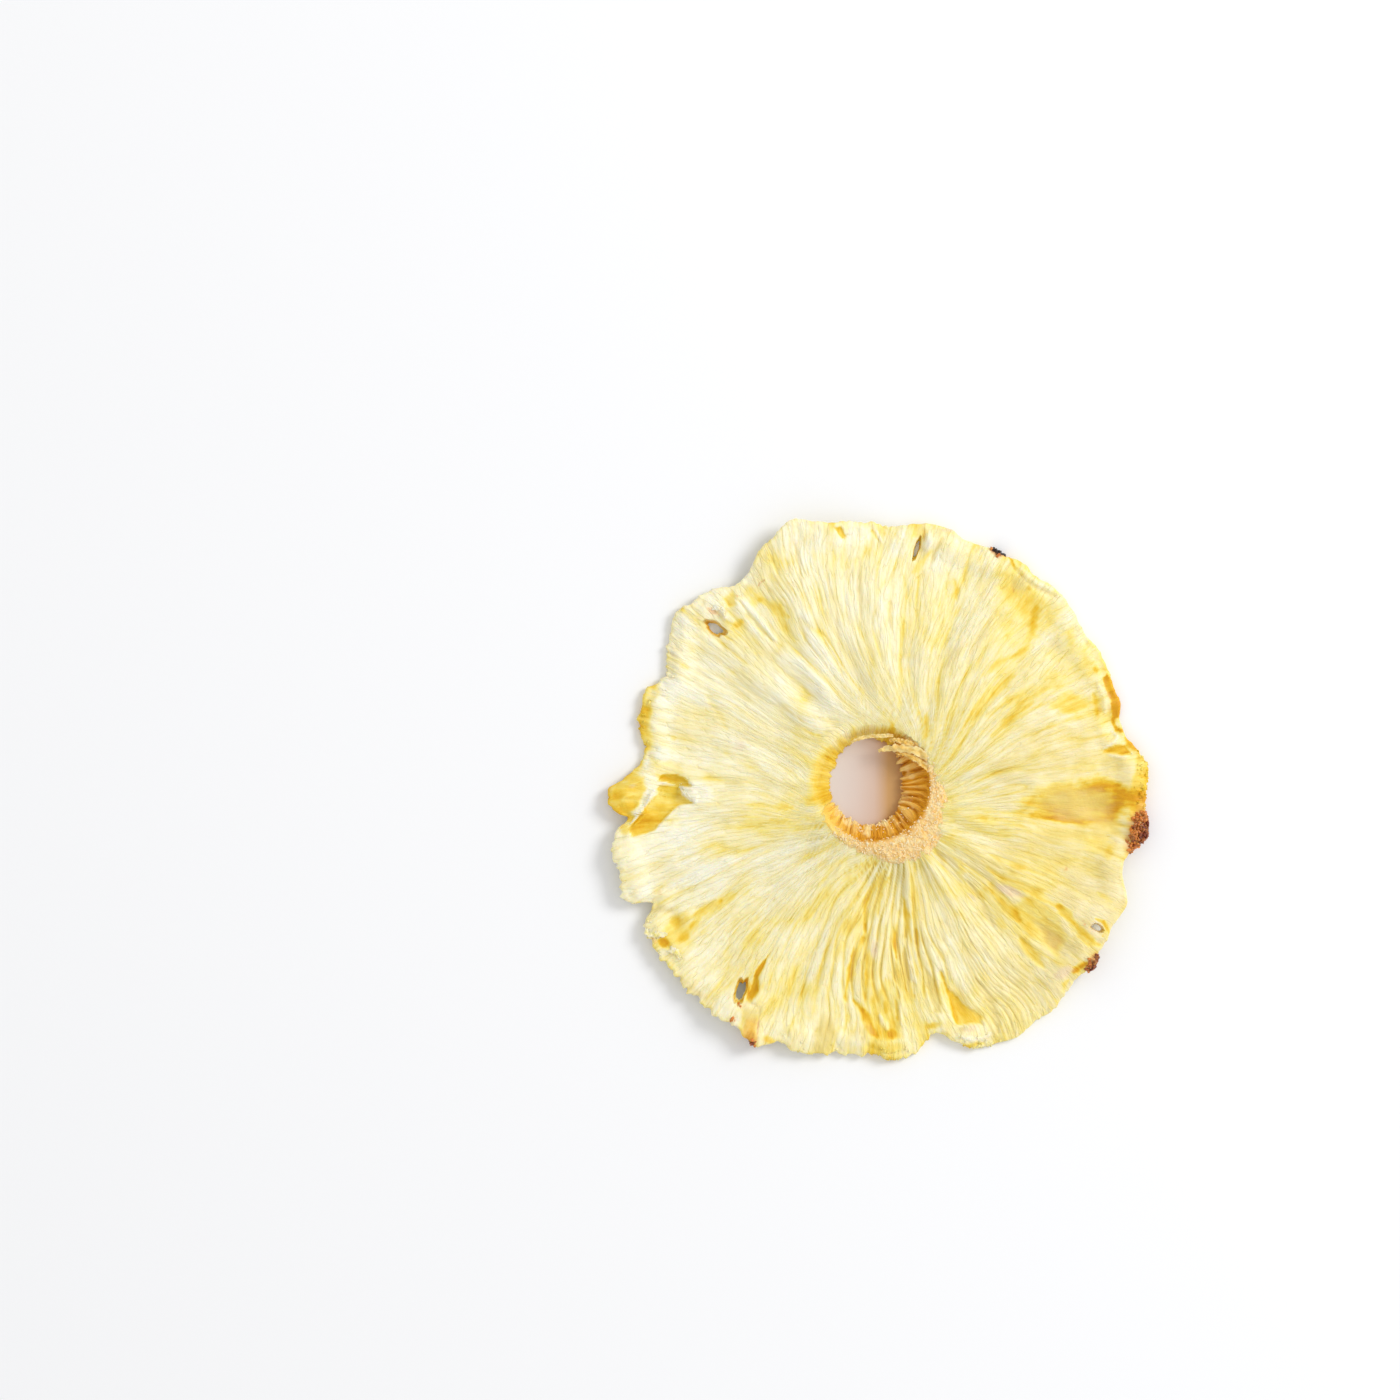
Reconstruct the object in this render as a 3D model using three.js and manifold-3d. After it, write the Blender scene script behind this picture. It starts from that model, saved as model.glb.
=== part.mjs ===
// A dried pineapple ring: one thin, leathery slice cut across the fruit, with its core punched out.
//
// Everything is measured from the core's axis, in millimetres and degrees. Angles turn from +X towards +Y.
// The slice is a closed strip of profiles: each profile climbs the wall of the core hole, crosses the tough
// collar of the core, runs out over the flesh to the ragged rim and comes back underneath.

import * as THREE from "three";
import { mergeVertices } from "three/addons/utils/BufferGeometryUtils.js";
import Module from "manifold-3d";

// ---- Driving dimensions ------------------------------------------------------------------------

const RIM_RADIUS = 41.4; // from the core's axis to the rim, on average
const CORE_AXIS = { x: -1.65, y: 0.85 }; // puts the origin under the middle of the slice

const FOOT_RADIUS = 6.3; // the core hole at its foot, where it is narrowest, on average
const FOOT_OVAL = 0.5; // how much longer than that it is along Y, and shorter along X
const MOUTH_RADIUS = 7.4; // the core hole at its mouth, on the side where its wall is steep
const MOUTH_FLARE = 2.3; // how much wider the mouth is on the side where the collar leans out
const FLARE_ANGLE = -25; // the side the collar leans to

const COLLAR_HEIGHT = 3.2; // from the table, on the low side
const COLLAR_RISE = 1.1; // added on the side the collar leans to
const COLLAR_WIDTH = 0.9; // the collar's top, at its narrowest
const COLLAR_SWELL = 3.1; // added where the core's granular shoulder shows
const SHOULDER_ANGLE = -48;
const SHOULDER_SPREAD = 34;
const PROUD = 0.85; // the shoulder stands above the flesh beside it
const SLUMP = 1.1; // and on the other side the mouth sinks below the flesh instead
const FALL = 0.9; // the shoulder falls to the flesh over this distance
const SEAT = 2.6; // the flat ring under the collar, which the slice rests on

const FLESH_THICKNESS = 2.2; // beside the collar
const EDGE_THICKNESS = 1.3; // along the rim
const THINNEST = 0.45; // the membrane left at the bottom of an eye
const HOLLOW = 0.7; // how far the flesh's underside arches off the table
const HOLLOW_SHARE = 0.87; // where that arch comes down again, as a share of the way out
const CLIMB_REACH = 5; // the flesh climbs towards the collar over this distance
const EDGE_ROUND = 0.35; // the rim is rounded off over this distance

// ---- The rim -----------------------------------------------------------------------------------

// Broad lobes of the outline: how many, how tall, and where they point.
const RIM_LOBES = [
  { count: 1, height: 2.72, angle: -39 },
  { count: 2, height: 0.93, angle: 81.5 },
  { count: 3, height: 1.0, angle: -28 },
];

// Bulges (+) and nicks (-) where one fruitlet meets the next: angle, half width, height.
const RIM_FEATURES = [
  [3, 7, 1.1],
  [12, 6, -1.3],
  [46, 14, 0.7],
  [66, 6, -1.3],
  [88, 17, -1.3],
  [107, 8, 1.9],
  [121, 8, -2.0],
  [138, 12, 2.3],
  [151, 6, -1.5],
  [159, 5, 1.0],
  [173, 10, -2.6],
  [183, 6, 1.9],
  [188.5, 2.5, -1.3],
  [199, 14, 1.3],
  [209.5, 3.5, -2.8],
  [226, 12, 0.6],
  [246, 6, 2.0],
  [269, 10, -0.7],
  [285, 7, -2.6],
  [303, 16, 1.6],
  [321, 3, 0.9],
  [342, 8, -2.0],
  [350, 5, 1.0],
];

const TATTER = 0.45; // how ragged the rim is
const TATTER_STEP = 5; // degrees from one tatter to the next
const CREST = 0.41; // a bead along the rim stands this far above the flesh, on average
const CREST_SPREAD = 0.34; // and this much more or less
const CREST_STEP = 15; // degrees from one rise of the bead to the next
const CREST_INSET = 2.6; // how far in from the rim the bead lies
const CREST_HALF_WIDTH = 2.9;

// ---- Waves, pleats and eyes --------------------------------------------------------------------

// The slice curls as it dries: how many waves round the rim, how tall, and where they peak.
const CURLS = [
  { count: 3, height: 1.35, angle: 102 },
  { count: 5, height: 0.8, angle: 40 },
  { count: 8, height: 0.45, angle: 12 },
];
const CURL_MEAN = 0.9;
const CURL_GROWTH = 1.6; // the curl grows with this power of the way out

const PLEAT = 0.45; // the radial folds between bundles of fibre
const PLEAT_UNDER = 0.27; // how much of them shows on the underside
const PLEAT_STEP = 8; // degrees from one pleat to the next
const PLEAT_LENGTH = 14; // and how far one runs before it changes
const SWIRL = 22; // fibres leave the collar askew by up to this angle
const SWIRL_ANGLE = 55;
const SWIRL_START = 10.4; // from this distance on they straighten
const SWIRL_REACH = 8;

// The sunken eyes of the fruitlets: angle, distance from the axis, half width, half length, depth.
const EYES = [
  [14, 39.0, 4.2, 2.0, 0.8],
  [46, 35.0, 3.0, 5.0, 0.6],
  [78, 37.6, 1.8, 3.0, 0.9],
  [94, 38.4, 3.2, 1.7, 0.5],
  [122, 33.5, 3.0, 4.0, 0.6],
  [134, 34.0, 2.4, 2.6, 0.8],
  [182, 30.6, 3.4, 3.6, 1.2],
  [216, 37.4, 2.8, 3.0, 0.7],
  [240, 37.4, 2.2, 3.8, 0.9],
  [273, 36.0, 4.2, 4.8, 0.7],
  [292, 36.6, 2.6, 4.4, 0.9],
  [320, 35.0, 3.6, 6.5, 0.7],
  [354, 36.0, 3.8, 5.0, 0.8],
];

// Hard browned tips left from the flower: angle, distance from the axis, half width, height.
const KNOBS = [
  [60.5, 41.6, 1.3, 0.7],
  [246, 43.2, 1.7, 0.6],
  [321.5, 44.4, 1.5, 0.8],
  [350, 42.4, 2.6, 1.2],
];

// Eyes that have torn right through: angle, distance from the axis, half width, half length, turn.
const TEARS = [
  { angle: 78.1, distance: 37.2, halfWidth: 0.5, halfLength: 1.9, turn: -6 },
  { angle: 134.6, distance: 33.7, halfWidth: 0.75, halfLength: 1.85, turn: 9 },
  { angle: 238.6, distance: 37.8, halfWidth: 0.9, halfLength: 2.5, turn: 10 },
  { angle: 327.7, distance: 41.8, halfWidth: 0.6, halfLength: 1.2, turn: 3 },
];

// ---- How finely the solid is cut ---------------------------------------------------------------

const PROFILES = 200;
const TOP_STEPS = 13;
const UNDER_STEPS = 6;
const CROWDING = 0.85; // below 1, the steps crowd together towards the rim
const TEAR_SIDES = 14;
const TEAR_DEPTH = 12;

// ---- Small maths -------------------------------------------------------------------------------

const radians = (degrees) => (degrees * Math.PI) / 180;
const mix = (a, b, share) => a + (b - a) * share;
const smooth = (t) => t * t * (3 - 2 * t);
const clamp01 = (t) => Math.min(1, Math.max(0, t));

// The signed turn from one angle to another, between -180 and 180.
const turnBetween = (from, to) => ((((to - from) % 360) + 540) % 360) - 180;

// A rounded bump: 1 in its middle, 0 beyond its half width.
const bump = (x) => (Math.abs(x) < 1 ? (1 + Math.cos(Math.PI * x)) / 2 : 0);

// 1 towards the given angle, 0 on the opposite side.
const facing = (angle, towards) => (1 + Math.cos(radians(angle - towards))) / 2;

// A repeatable number from 0 to 1 for each grid point.
function lattice(i, j, seed) {
  const s = Math.sin(i * 12.9898 + j * 78.233 + seed * 37.719) * 43758.5453;
  return s - Math.floor(s);
}

// Smooth noise from -1 to 1 over an angle, which wraps after `cells` steps, and a distance.
function noise(angle, cells, distance, step, seed) {
  const u = (((angle / 360) % 1) + 1) * cells;
  const v = distance / step + 50;
  const i = Math.floor(u);
  const j = Math.floor(v);
  const a = smooth(u - i);
  const b = smooth(v - j);
  const at = (di, dj) => lattice((i + di) % cells, j + dj, seed);
  return 2 * mix(mix(at(0, 0), at(1, 0), a), mix(at(0, 1), at(1, 1), a), b) - 1;
}

// ---- The slice's shape -------------------------------------------------------------------------

// Distance from the core's axis to the rim.
function rimRadius(angle) {
  let radius = RIM_RADIUS;
  for (const lobe of RIM_LOBES) {
    radius += lobe.height * Math.cos(radians(lobe.count * (angle - lobe.angle)));
  }
  for (const [middle, halfWidth, height] of RIM_FEATURES) {
    radius += height * bump(turnBetween(middle, angle) / halfWidth);
  }
  return radius + TATTER * noise(angle, 360 / TATTER_STEP, 0, 1, 1);
}

// The collar at one angle: where it starts and ends, how high it stands, and how its top lies.
function collar(angle) {
  const oval = FOOT_OVAL * Math.cos(radians(2 * angle));
  const foot = FOOT_RADIUS - oval + 0.25 * noise(angle, 12, 0, 1, 2);
  const mouth = MOUTH_RADIUS + MOUTH_FLARE * facing(angle, FLARE_ANGLE);
  const spread = turnBetween(SHOULDER_ANGLE, angle) / SHOULDER_SPREAD;
  const shoulder = mouth + COLLAR_WIDTH + COLLAR_SWELL * Math.exp(-spread * spread);
  const lean = facing(angle, SHOULDER_ANGLE);
  return {
    foot,
    mouth,
    shoulder,
    heel: foot + SEAT,
    start: shoulder + FALL,
    height: COLLAR_HEIGHT + COLLAR_RISE * facing(angle, FLARE_ANGLE),
    proud: PROUD * lean * lean,
    slump: SLUMP * (1 - lean),
  };
}

// The direction in which the fibre through a point finally runs.
function fibreAngle(angle, radius) {
  const reach = Math.exp(-(radius - SWIRL_START) / SWIRL_REACH);
  return angle + SWIRL * Math.cos(radians(angle - SWIRL_ANGLE)) * Math.min(1, reach);
}

// How high the flesh's underside is carried by the slice's curl. Share is 0 at the collar, 1 at the rim.
function lift(angle, share) {
  let curl = CURL_MEAN;
  for (const wave of CURLS) {
    curl += wave.height * Math.cos(radians(wave.count * (angle - wave.angle)));
  }
  const arch = HOLLOW * Math.sin(Math.PI * Math.min(1, share / HOLLOW_SHARE));
  return Math.max(0, arch + curl * Math.pow(share, CURL_GROWTH));
}

// The folds' height at a point, from -1 to 1. They fade out towards the collar.
function pleat(angle, radius, share) {
  const fold = noise(fibreAngle(angle, radius), 360 / PLEAT_STEP, radius, PLEAT_LENGTH, 3);
  return fold * smooth(clamp01(share * 4));
}

function eyeDepth(angle, radius) {
  let depth = 0;
  for (const [middle, distance, halfWidth, halfLength, deep] of EYES) {
    const across = (radians(turnBetween(middle, angle)) * radius) / halfWidth;
    const along = (radius - distance) / halfLength;
    depth = Math.max(depth, deep * bump(Math.min(1, Math.hypot(across, along))));
  }
  return depth;
}

function knobHeight(angle, radius) {
  let height = 0;
  for (const [middle, distance, halfWidth, tall] of KNOBS) {
    const across = radians(turnBetween(middle, angle)) * radius;
    height += tall * bump(Math.min(1, Math.hypot(across, radius - distance) / halfWidth));
  }
  return height;
}

// The bead along the rim, which stands up and then falls away to the edge.
function crest(angle, radius, rim) {
  const height = CREST + CREST_SPREAD * noise(angle, 360 / CREST_STEP, 0, 1, 4);
  return height * bump((rim - CREST_INSET - radius) / CREST_HALF_WIDTH);
}

// The underside follows the curl and the folds, but lies flat where it meets the table.
function underside(angle, radius, share) {
  const carried = lift(angle, share);
  const folds = PLEAT_UNDER * pleat(angle, radius, share);
  return Math.max(0, carried + folds * clamp01(carried * 2));
}

function topside(angle, radius, share, rim, ring) {
  const thickness = mix(FLESH_THICKNESS, EDGE_THICKNESS, smooth(share));
  const root = ring.height - ring.proud - FLESH_THICKNESS;
  const climb = root * Math.exp(-(radius - ring.start) / CLIMB_REACH);
  const relief = PLEAT * pleat(angle, radius, share) + crest(angle, radius, rim);
  const height = thickness + climb + relief - eyeDepth(angle, radius);
  return underside(angle, radius, share) + Math.max(THINNEST, height) + knobHeight(angle, radius);
}

// ---- The solid ---------------------------------------------------------------------------------

// One closed profile, as [distance from the axis, height] points, foot first and up the wall.
function profile(angle) {
  const ring = collar(angle);
  const { foot, mouth, shoulder, heel, start, height, proud, slump } = ring;
  const rim = rimRadius(angle);
  const edge = rim - EDGE_ROUND;
  const shareAt = (radius) => clamp01((radius - heel) / (rim - heel));
  const step = (from, i, steps) => mix(from, edge, Math.pow(i / steps, CROWDING));

  const lip = height - slump;
  const points = [
    [foot, 0],
    [foot + 0.15, lip * 0.3],
    [mix(foot, mouth, 0.7), lip * 0.7],
    [mouth, lip],
    [mix(mouth, shoulder, 0.5), mix(lip, height, 0.65)],
    [shoulder, mix(height, height - proud, 0.25) - slump * 0.1],
  ];
  for (let i = 0; i <= TOP_STEPS; i++) {
    const radius = step(start, i, TOP_STEPS);
    points.push([radius, topside(angle, radius, shareAt(radius), rim, ring)]);
  }
  const low = underside(angle, rim, 1);
  const high = points[points.length - 1][1];
  points.push([rim, mix(low, high, 0.45)]);
  for (let i = UNDER_STEPS; i > 0; i--) {
    const radius = step(heel, i, UNDER_STEPS);
    points.push([radius, underside(angle, radius, shareAt(radius))]);
  }
  points.push([heel, 0]);
  return points;
}

// Joins the profiles round the axis into one closed surface.
function sliceGeometry() {
  const rings = Array.from({ length: PROFILES }, (_, i) => {
    const angle = (i * 360) / PROFILES;
    return profile(angle).map(([radius, height]) => [
      CORE_AXIS.x + radius * Math.cos(radians(angle)),
      CORE_AXIS.y + radius * Math.sin(radians(angle)),
      height,
    ]);
  });
  const length = rings[0].length;
  const index = [];
  for (let i = 0; i < PROFILES; i++) {
    for (let j = 0; j < length; j++) {
      const a = i * length + j;
      const b = i * length + ((j + 1) % length);
      const c = ((i + 1) % PROFILES) * length + ((j + 1) % length);
      const d = ((i + 1) % PROFILES) * length + j;
      index.push(a, b, c, a, c, d);
    }
  }
  const geometry = new THREE.BufferGeometry();
  geometry.setAttribute("position", new THREE.Float32BufferAttribute(rings.flat(2), 3));
  geometry.setIndex(index);
  return geometry;
}

// A ragged prism that cuts a torn eye out of the slice.
function tearGeometry({ angle, distance, halfWidth, halfLength, turn }) {
  const outline = Array.from({ length: TEAR_SIDES }, (_, i) => {
    const around = (i * 2 * Math.PI) / TEAR_SIDES;
    const ragged = 1 + 0.16 * (2 * lattice(i, Math.round(angle), 5) - 1);
    return new THREE.Vector2(
      halfLength * ragged * Math.cos(around),
      halfWidth * ragged * Math.sin(around),
    );
  });
  const geometry = new THREE.ExtrudeGeometry(new THREE.Shape(outline), {
    depth: TEAR_DEPTH,
    bevelEnabled: false,
  });
  return geometry
    .translate(0, 0, -TEAR_DEPTH / 2)
    .rotateZ(radians(angle + turn))
    .translate(
      CORE_AXIS.x + distance * Math.cos(radians(angle)),
      CORE_AXIS.y + distance * Math.sin(radians(angle)),
      0,
    );
}

const wasm = await Module();
wasm.setup();

function solid(geometry) {
  const bare = geometry.clone();
  bare.deleteAttribute("normal");
  bare.deleteAttribute("uv");
  const merged = mergeVertices(bare, 1e-4);
  return new wasm.Manifold(
    new wasm.Mesh({
      numProp: 3,
      vertProperties: merged.attributes.position.array,
      triVerts: new Uint32Array(merged.index.array),
    }),
  );
}

function geometryOf(manifold) {
  const mesh = manifold.getMesh();
  const geometry = new THREE.BufferGeometry();
  geometry.setAttribute("position", new THREE.BufferAttribute(mesh.vertProperties, mesh.numProp));
  geometry.setIndex(new THREE.BufferAttribute(mesh.triVerts, 1));
  geometry.computeVertexNormals();
  return geometry;
}

function pineappleRing() {
  let ring = solid(sliceGeometry());
  for (const tear of TEARS) {
    ring = ring.subtract(solid(tearGeometry(tear)));
  }
  const material = new THREE.MeshStandardMaterial({
    color: 0xf2dfa0,
    roughness: 0.6,
    metalness: 0,
  });
  const mesh = new THREE.Mesh(geometryOf(ring), material);
  mesh.name = "pineapple_ring";
  return mesh;
}

const model = new THREE.Group();
model.add(pineappleRing());

export default model;
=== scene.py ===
"""Dresses a dried pineapple ring: its fibrous flesh, granular core, torn eyes, crumbs and browned tips.

Sizes are in millimetres and degrees, measured from the core's axis, and become metres in the meshes.
"""

import logging
import math
from abc import ABC, abstractmethod
from dataclasses import dataclass
from enum import Enum
from functools import partial

import bpy
import numpy as np
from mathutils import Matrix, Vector


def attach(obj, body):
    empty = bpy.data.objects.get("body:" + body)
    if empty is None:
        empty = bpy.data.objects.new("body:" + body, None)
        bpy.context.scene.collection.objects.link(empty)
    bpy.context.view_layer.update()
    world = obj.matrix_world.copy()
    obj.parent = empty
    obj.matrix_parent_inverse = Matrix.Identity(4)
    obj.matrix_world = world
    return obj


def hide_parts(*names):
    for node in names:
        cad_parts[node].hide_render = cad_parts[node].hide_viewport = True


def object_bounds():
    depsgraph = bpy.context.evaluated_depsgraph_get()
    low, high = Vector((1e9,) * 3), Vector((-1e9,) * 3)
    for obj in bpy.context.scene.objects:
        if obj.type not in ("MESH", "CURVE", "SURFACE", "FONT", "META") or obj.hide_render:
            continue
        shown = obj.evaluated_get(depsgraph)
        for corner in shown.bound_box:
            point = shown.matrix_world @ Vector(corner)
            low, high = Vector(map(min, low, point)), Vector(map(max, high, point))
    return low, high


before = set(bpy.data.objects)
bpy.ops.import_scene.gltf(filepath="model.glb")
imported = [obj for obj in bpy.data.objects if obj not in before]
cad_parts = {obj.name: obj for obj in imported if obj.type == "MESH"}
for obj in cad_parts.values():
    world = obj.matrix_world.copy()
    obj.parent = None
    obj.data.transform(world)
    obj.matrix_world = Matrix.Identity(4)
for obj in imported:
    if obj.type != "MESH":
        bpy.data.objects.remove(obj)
CAD_BOX = [list(corner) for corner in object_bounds()]

MM = 0.001
NODE = "pineapple_ring"
BODY = "root"
log = logging.getLogger("pineapple_ring")

# One number, or an array with a number for each place.
Field = float | np.ndarray


# ---- Small maths ----

DEGREES_IN_RADIAN = 57.3
# Where the noise grids start, so that no cell's number is negative.
GRID_START = 50.0
# The factors of the usual hash of a grid point, and what it is stretched by.
HASH_ACROSS, HASH_ALONG, HASH_SEED, HASH_GAIN = 12.9898, 78.233, 37.719, 43758.5453


def mix(a: Field, b: Field, share: Field) -> Field:
    """Blends from a to b."""
    return a + (b - a) * share


def smooth(t: Field) -> Field:
    """Eases a share from 0 to 1."""
    t = np.clip(t, 0.0, 1.0)
    return t * t * (3.0 - 2.0 * t)


def crest(fold: Field, half: float) -> Field:
    """Returns a fold's height with a round crest that is full from half a fold on."""
    return 1.0 - (1.0 - np.minimum(1.0, fold / half)) ** 2


def turn_between(start: float, end: Field) -> Field:
    """Returns the signed turn from one angle to another, between -180 and 180."""
    return np.mod(end - start + 180.0, 360.0) - 180.0


def bump(x: Field) -> Field:
    """Returns a rounded bump: 1 in its middle, 0 beyond 1."""
    return np.where(np.abs(x) < 1.0, (1.0 + np.cos(np.pi * x)) / 2.0, 0.0)


def facing(angle: Field, towards: float) -> Field:
    """Returns 1 towards the given angle, and 0 on the opposite side."""
    return (1.0 + np.cos(np.radians(angle - towards))) / 2.0


def lattice(i: Field, j: Field, seed: int) -> Field:
    """Returns a repeatable number from 0 to 1 for each grid point."""
    wave = np.sin(i * HASH_ACROSS + j * HASH_ALONG + seed * HASH_SEED) * HASH_GAIN
    return wave - np.floor(wave)


def grid(angle: Field, cells: int, distance: Field, step: float) -> tuple:
    """Returns where each place lies on a grid with so many cells in a full turn, across and along."""
    return np.mod(angle / 360.0, 1.0) * cells, distance / step + GRID_START


def noise(angle: Field, cells: int, distance: Field = 0.0, step: float = 1.0, seed: int = 0) -> Field:
    """Returns smooth noise from -1 to 1 over an angle and a distance.

    Args:
        angle: Degrees. The noise wraps after a full turn.
        cells: How many steps a full turn has.
        distance: The second direction, in millimetres.
        step: How long a step is in that direction.
        seed: Which noise it is.

    Returns:
        One number for each place.
    """
    u, v = grid(angle, cells, distance, step)
    i, j = np.floor(u), np.floor(v)
    a, b = smooth(u - i), smooth(v - j)

    def at(di: int, dj: int) -> Field:
        """Returns the grid's number at a corner of the cell."""
        return lattice(np.mod(i + di, cells), j + dj, seed)

    return 2.0 * mix(mix(at(0, 0), at(1, 0), a), mix(at(0, 1), at(1, 1), a), b) - 1.0


def strands(angle: Field, cells: int, distance: Field, step: float, seed: int) -> Field:
    """Returns how far inside its own strand of fibre each place lies.

    Each strand keeps its number as it runs outwards, but sways and changes its width on the way.

    Args:
        angle: The fibre's own angle, in degrees.
        cells: How many strands a full turn has.
        distance: How far along the strand the place is, in millimetres.
        step: How far a strand runs before it sways.
        seed: Which set of strands it is.

    Returns:
        0 in the crease between two strands, and towards 1 in the middle of one.
    """
    u, v = grid(angle, cells, distance, step)
    i, j = np.floor(u), np.floor(v)
    b = smooth(v - j)
    gaps = []
    for k in (-2, -1, 0, 1, 2):
        number = np.mod(i + k, cells)
        sway = mix(lattice(number, j, seed), lattice(number, j + 1, seed), b) - 0.5
        gaps.append(np.abs(i + k + 0.5 + 0.95 * sway - u))
    gaps = np.sort(np.stack(gaps), axis=0)
    return np.clip(gaps[1] - gaps[0], 0.0, 1.0)


def through(knots: list, t: float) -> tuple:
    """Returns a place on the smooth curve through (radius, height) knots.

    Args:
        knots: The knots, each a pair of arrays with one number for each column.
        t: How far along, counted in knots.

    Returns:
        The radius and height at that place.
    """
    last = len(knots) - 1
    i = min(int(t), last - 1)
    f = t - i
    near = [knots[min(max(n, 0), last)] for n in (i - 1, i, i + 1, i + 2)]
    weights = (
        0.5 * (-f + 2 * f * f - f**3),
        0.5 * (2 - 5 * f * f + 3 * f**3),
        0.5 * (f + 4 * f * f - 3 * f**3),
        0.5 * (f**3 - f * f),
    )
    return tuple(sum(w * knot[axis] for w, knot in zip(weights, near)) for axis in (0, 1))


@dataclass(frozen=True)
class Layer:
    """A layer of noise: its height, its cells in a full turn, how long each is, and its seed."""

    height: float
    cells: int
    step: float
    seed: int

    def at(self, angle: Field, distance: Field = 0.0) -> Field:
        """Returns the layer's height at each place."""
        return self.height * noise(angle, self.cells, distance, self.step, self.seed)


def heap(layers: tuple, angle: Field, distance: Field = 0.0, base: Field = 0.0) -> Field:
    """Returns the height of layers of noise on top of each other."""
    return sum((layer.at(angle, distance) for layer in layers), base)


@dataclass(frozen=True)
class Sector:
    """A stretch of the ring that fades to both sides: its middle, its half width and its share."""

    middle: float
    half_width: float
    share: float = 1.0

    def at(self, angle: Field) -> Field:
        """Returns how much the stretch counts at each angle."""
        return self.share * bump(turn_between(self.middle, angle) / self.half_width)


# ---- What the flesh carries ----


class Tone(Enum):
    """A colour that the flesh takes on in places, some of them painted shade. Its value names the mesh
    attribute.
    """

    RIPE = "ripe"
    # Rosy grey: thin skin, and in part painted cool shade in folds.
    ROSE = "rose"
    # Dull olive: the flesh's own straw colour in places, and painted shade in creases, grooves and hollows.
    DULL_AND_SHADE = "dull_and_shade"
    BROWN = "browned"


def flat(angle: Field, radius: Field) -> tuple:
    """Returns the x and y of each place, in millimetres from the core's axis."""
    turn = np.radians(angle)
    return radius * np.cos(turn), radius * np.sin(turn)


def flat_line(line: tuple) -> list:
    """Returns the x and y of each (angle, distance) point of a line."""
    return [(d * math.cos(math.radians(a)), d * math.sin(math.radians(a))) for a, d in line]


def beside(x: Field, y: Field, start: tuple, end: tuple) -> tuple:
    """Returns how far along a straight line each place lies, as a share, and how far off it.

    Args:
        x: Where the places are.
        y: The same, in the other direction.
        start: The line's first point.
        end: Its last point.

    Returns:
        The share from 0 to 1, and the distance in millimetres.
    """
    (x0, y0), (x1, y1) = start, end
    run = (x1 - x0) ** 2 + (y1 - y0) ** 2
    t = np.clip(((x - x0) * (x1 - x0) + (y - y0) * (y1 - y0)) / run, 0.0, 1.0)
    return t, np.hypot(x - x0 - t * (x1 - x0), y - y0 - t * (y1 - y0))


class Mark(ABC):
    """Something that a place on the flesh shows: every kind has a tone, a strength and a depth."""

    tone: Tone
    strength: float
    sink: float

    @abstractmethod
    def cover(self, angle: Field, radius: Field, ragged: Field) -> Field:
        """Returns how much the mark covers each place.

        Args:
            angle: Degrees round the core.
            radius: Millimetres from the core's axis.
            ragged: Noise from -1 to 1 that makes the mark's edge uneven.

        Returns:
            A share from 0 to 1.
        """


@dataclass(frozen=True)
class Patch(Mark):
    """A soft-edged patch: its tone, place, half sizes along and across the fibres, turn and depth."""

    tone: Tone
    strength: float
    angle: float
    distance: float
    length: float
    width: float
    turn: float = 0.0
    sink: float = 0.0

    def cover(self, angle: Field, radius: Field, ragged: Field) -> Field:
        """Returns how much the patch covers each place, as Mark.cover says."""
        swing = np.radians(turn_between(self.angle, angle)) * radius
        out = radius - self.distance
        turn = math.radians(self.turn)
        along = out * math.cos(turn) + swing * math.sin(turn)
        across = swing * math.cos(turn) - out * math.sin(turn)
        reach = np.hypot(along / self.length, across / self.width)
        return smooth((1.25 - reach + 0.3 * ragged) / 0.75)


@dataclass(frozen=True)
class Streak(Mark):
    """A streak along a line of (angle, distance) points: its tone, half width and depth."""

    tone: Tone
    strength: float
    width: float
    line: tuple
    sink: float = 0.0

    def cover(self, angle: Field, radius: Field, ragged: Field) -> Field:
        """Returns how much the streak covers each place, as Mark.cover says."""
        x, y = flat(angle, radius)
        points = flat_line(self.line)
        nearest = np.full_like(x, 1e6)
        whole = len(points) - 1
        for k, (start, end) in enumerate(zip(points, points[1:])):
            t, gap = beside(x, y, start, end)
            taper = 0.45 + 0.55 * np.sin(np.pi * np.clip((k + t) / whole, 0.0, 1.0))
            nearest = np.minimum(nearest, gap / (self.width * taper))
        return smooth((1.6 - nearest + 0.7 * ragged) / 1.6)


@dataclass(frozen=True)
class Pool(Mark):
    """A patch with a clear outline of (angle, distance) points: its tone, strength, edge and depth."""

    tone: Tone
    strength: float
    outline: tuple
    edge: float = 0.5
    sink: float = 0.0

    def cover(self, angle: Field, radius: Field, ragged: Field) -> Field:
        """Returns how much the pool covers each place, as Mark.cover says."""
        x, y = flat(angle, radius)
        corners = flat_line(self.outline)
        nearest, inside = np.full_like(x, 1e6), np.zeros(np.shape(x), bool)
        for start, end in zip(corners, corners[1:] + corners[:1]):
            (x0, y0), (x1, y1) = start, end
            nearest = np.minimum(nearest, beside(x, y, start, end)[1])
            if y0 != y1:
                inside ^= ((y0 > y) != (y1 > y)) & (x < x0 + (x1 - x0) * (y - y0) / (y1 - y0))
        depth = np.where(inside, nearest, -nearest) + 0.3 * ragged
        return smooth(0.5 + depth / self.edge)


@dataclass(frozen=True)
class Tear:
    """An eye that has torn right through."""

    angle: float
    distance: float
    half_width: float
    half_length: float
    turn: float
    # How browned its walls are, which is partly painted shade inside the hole.
    scorch_and_shade: float


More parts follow.
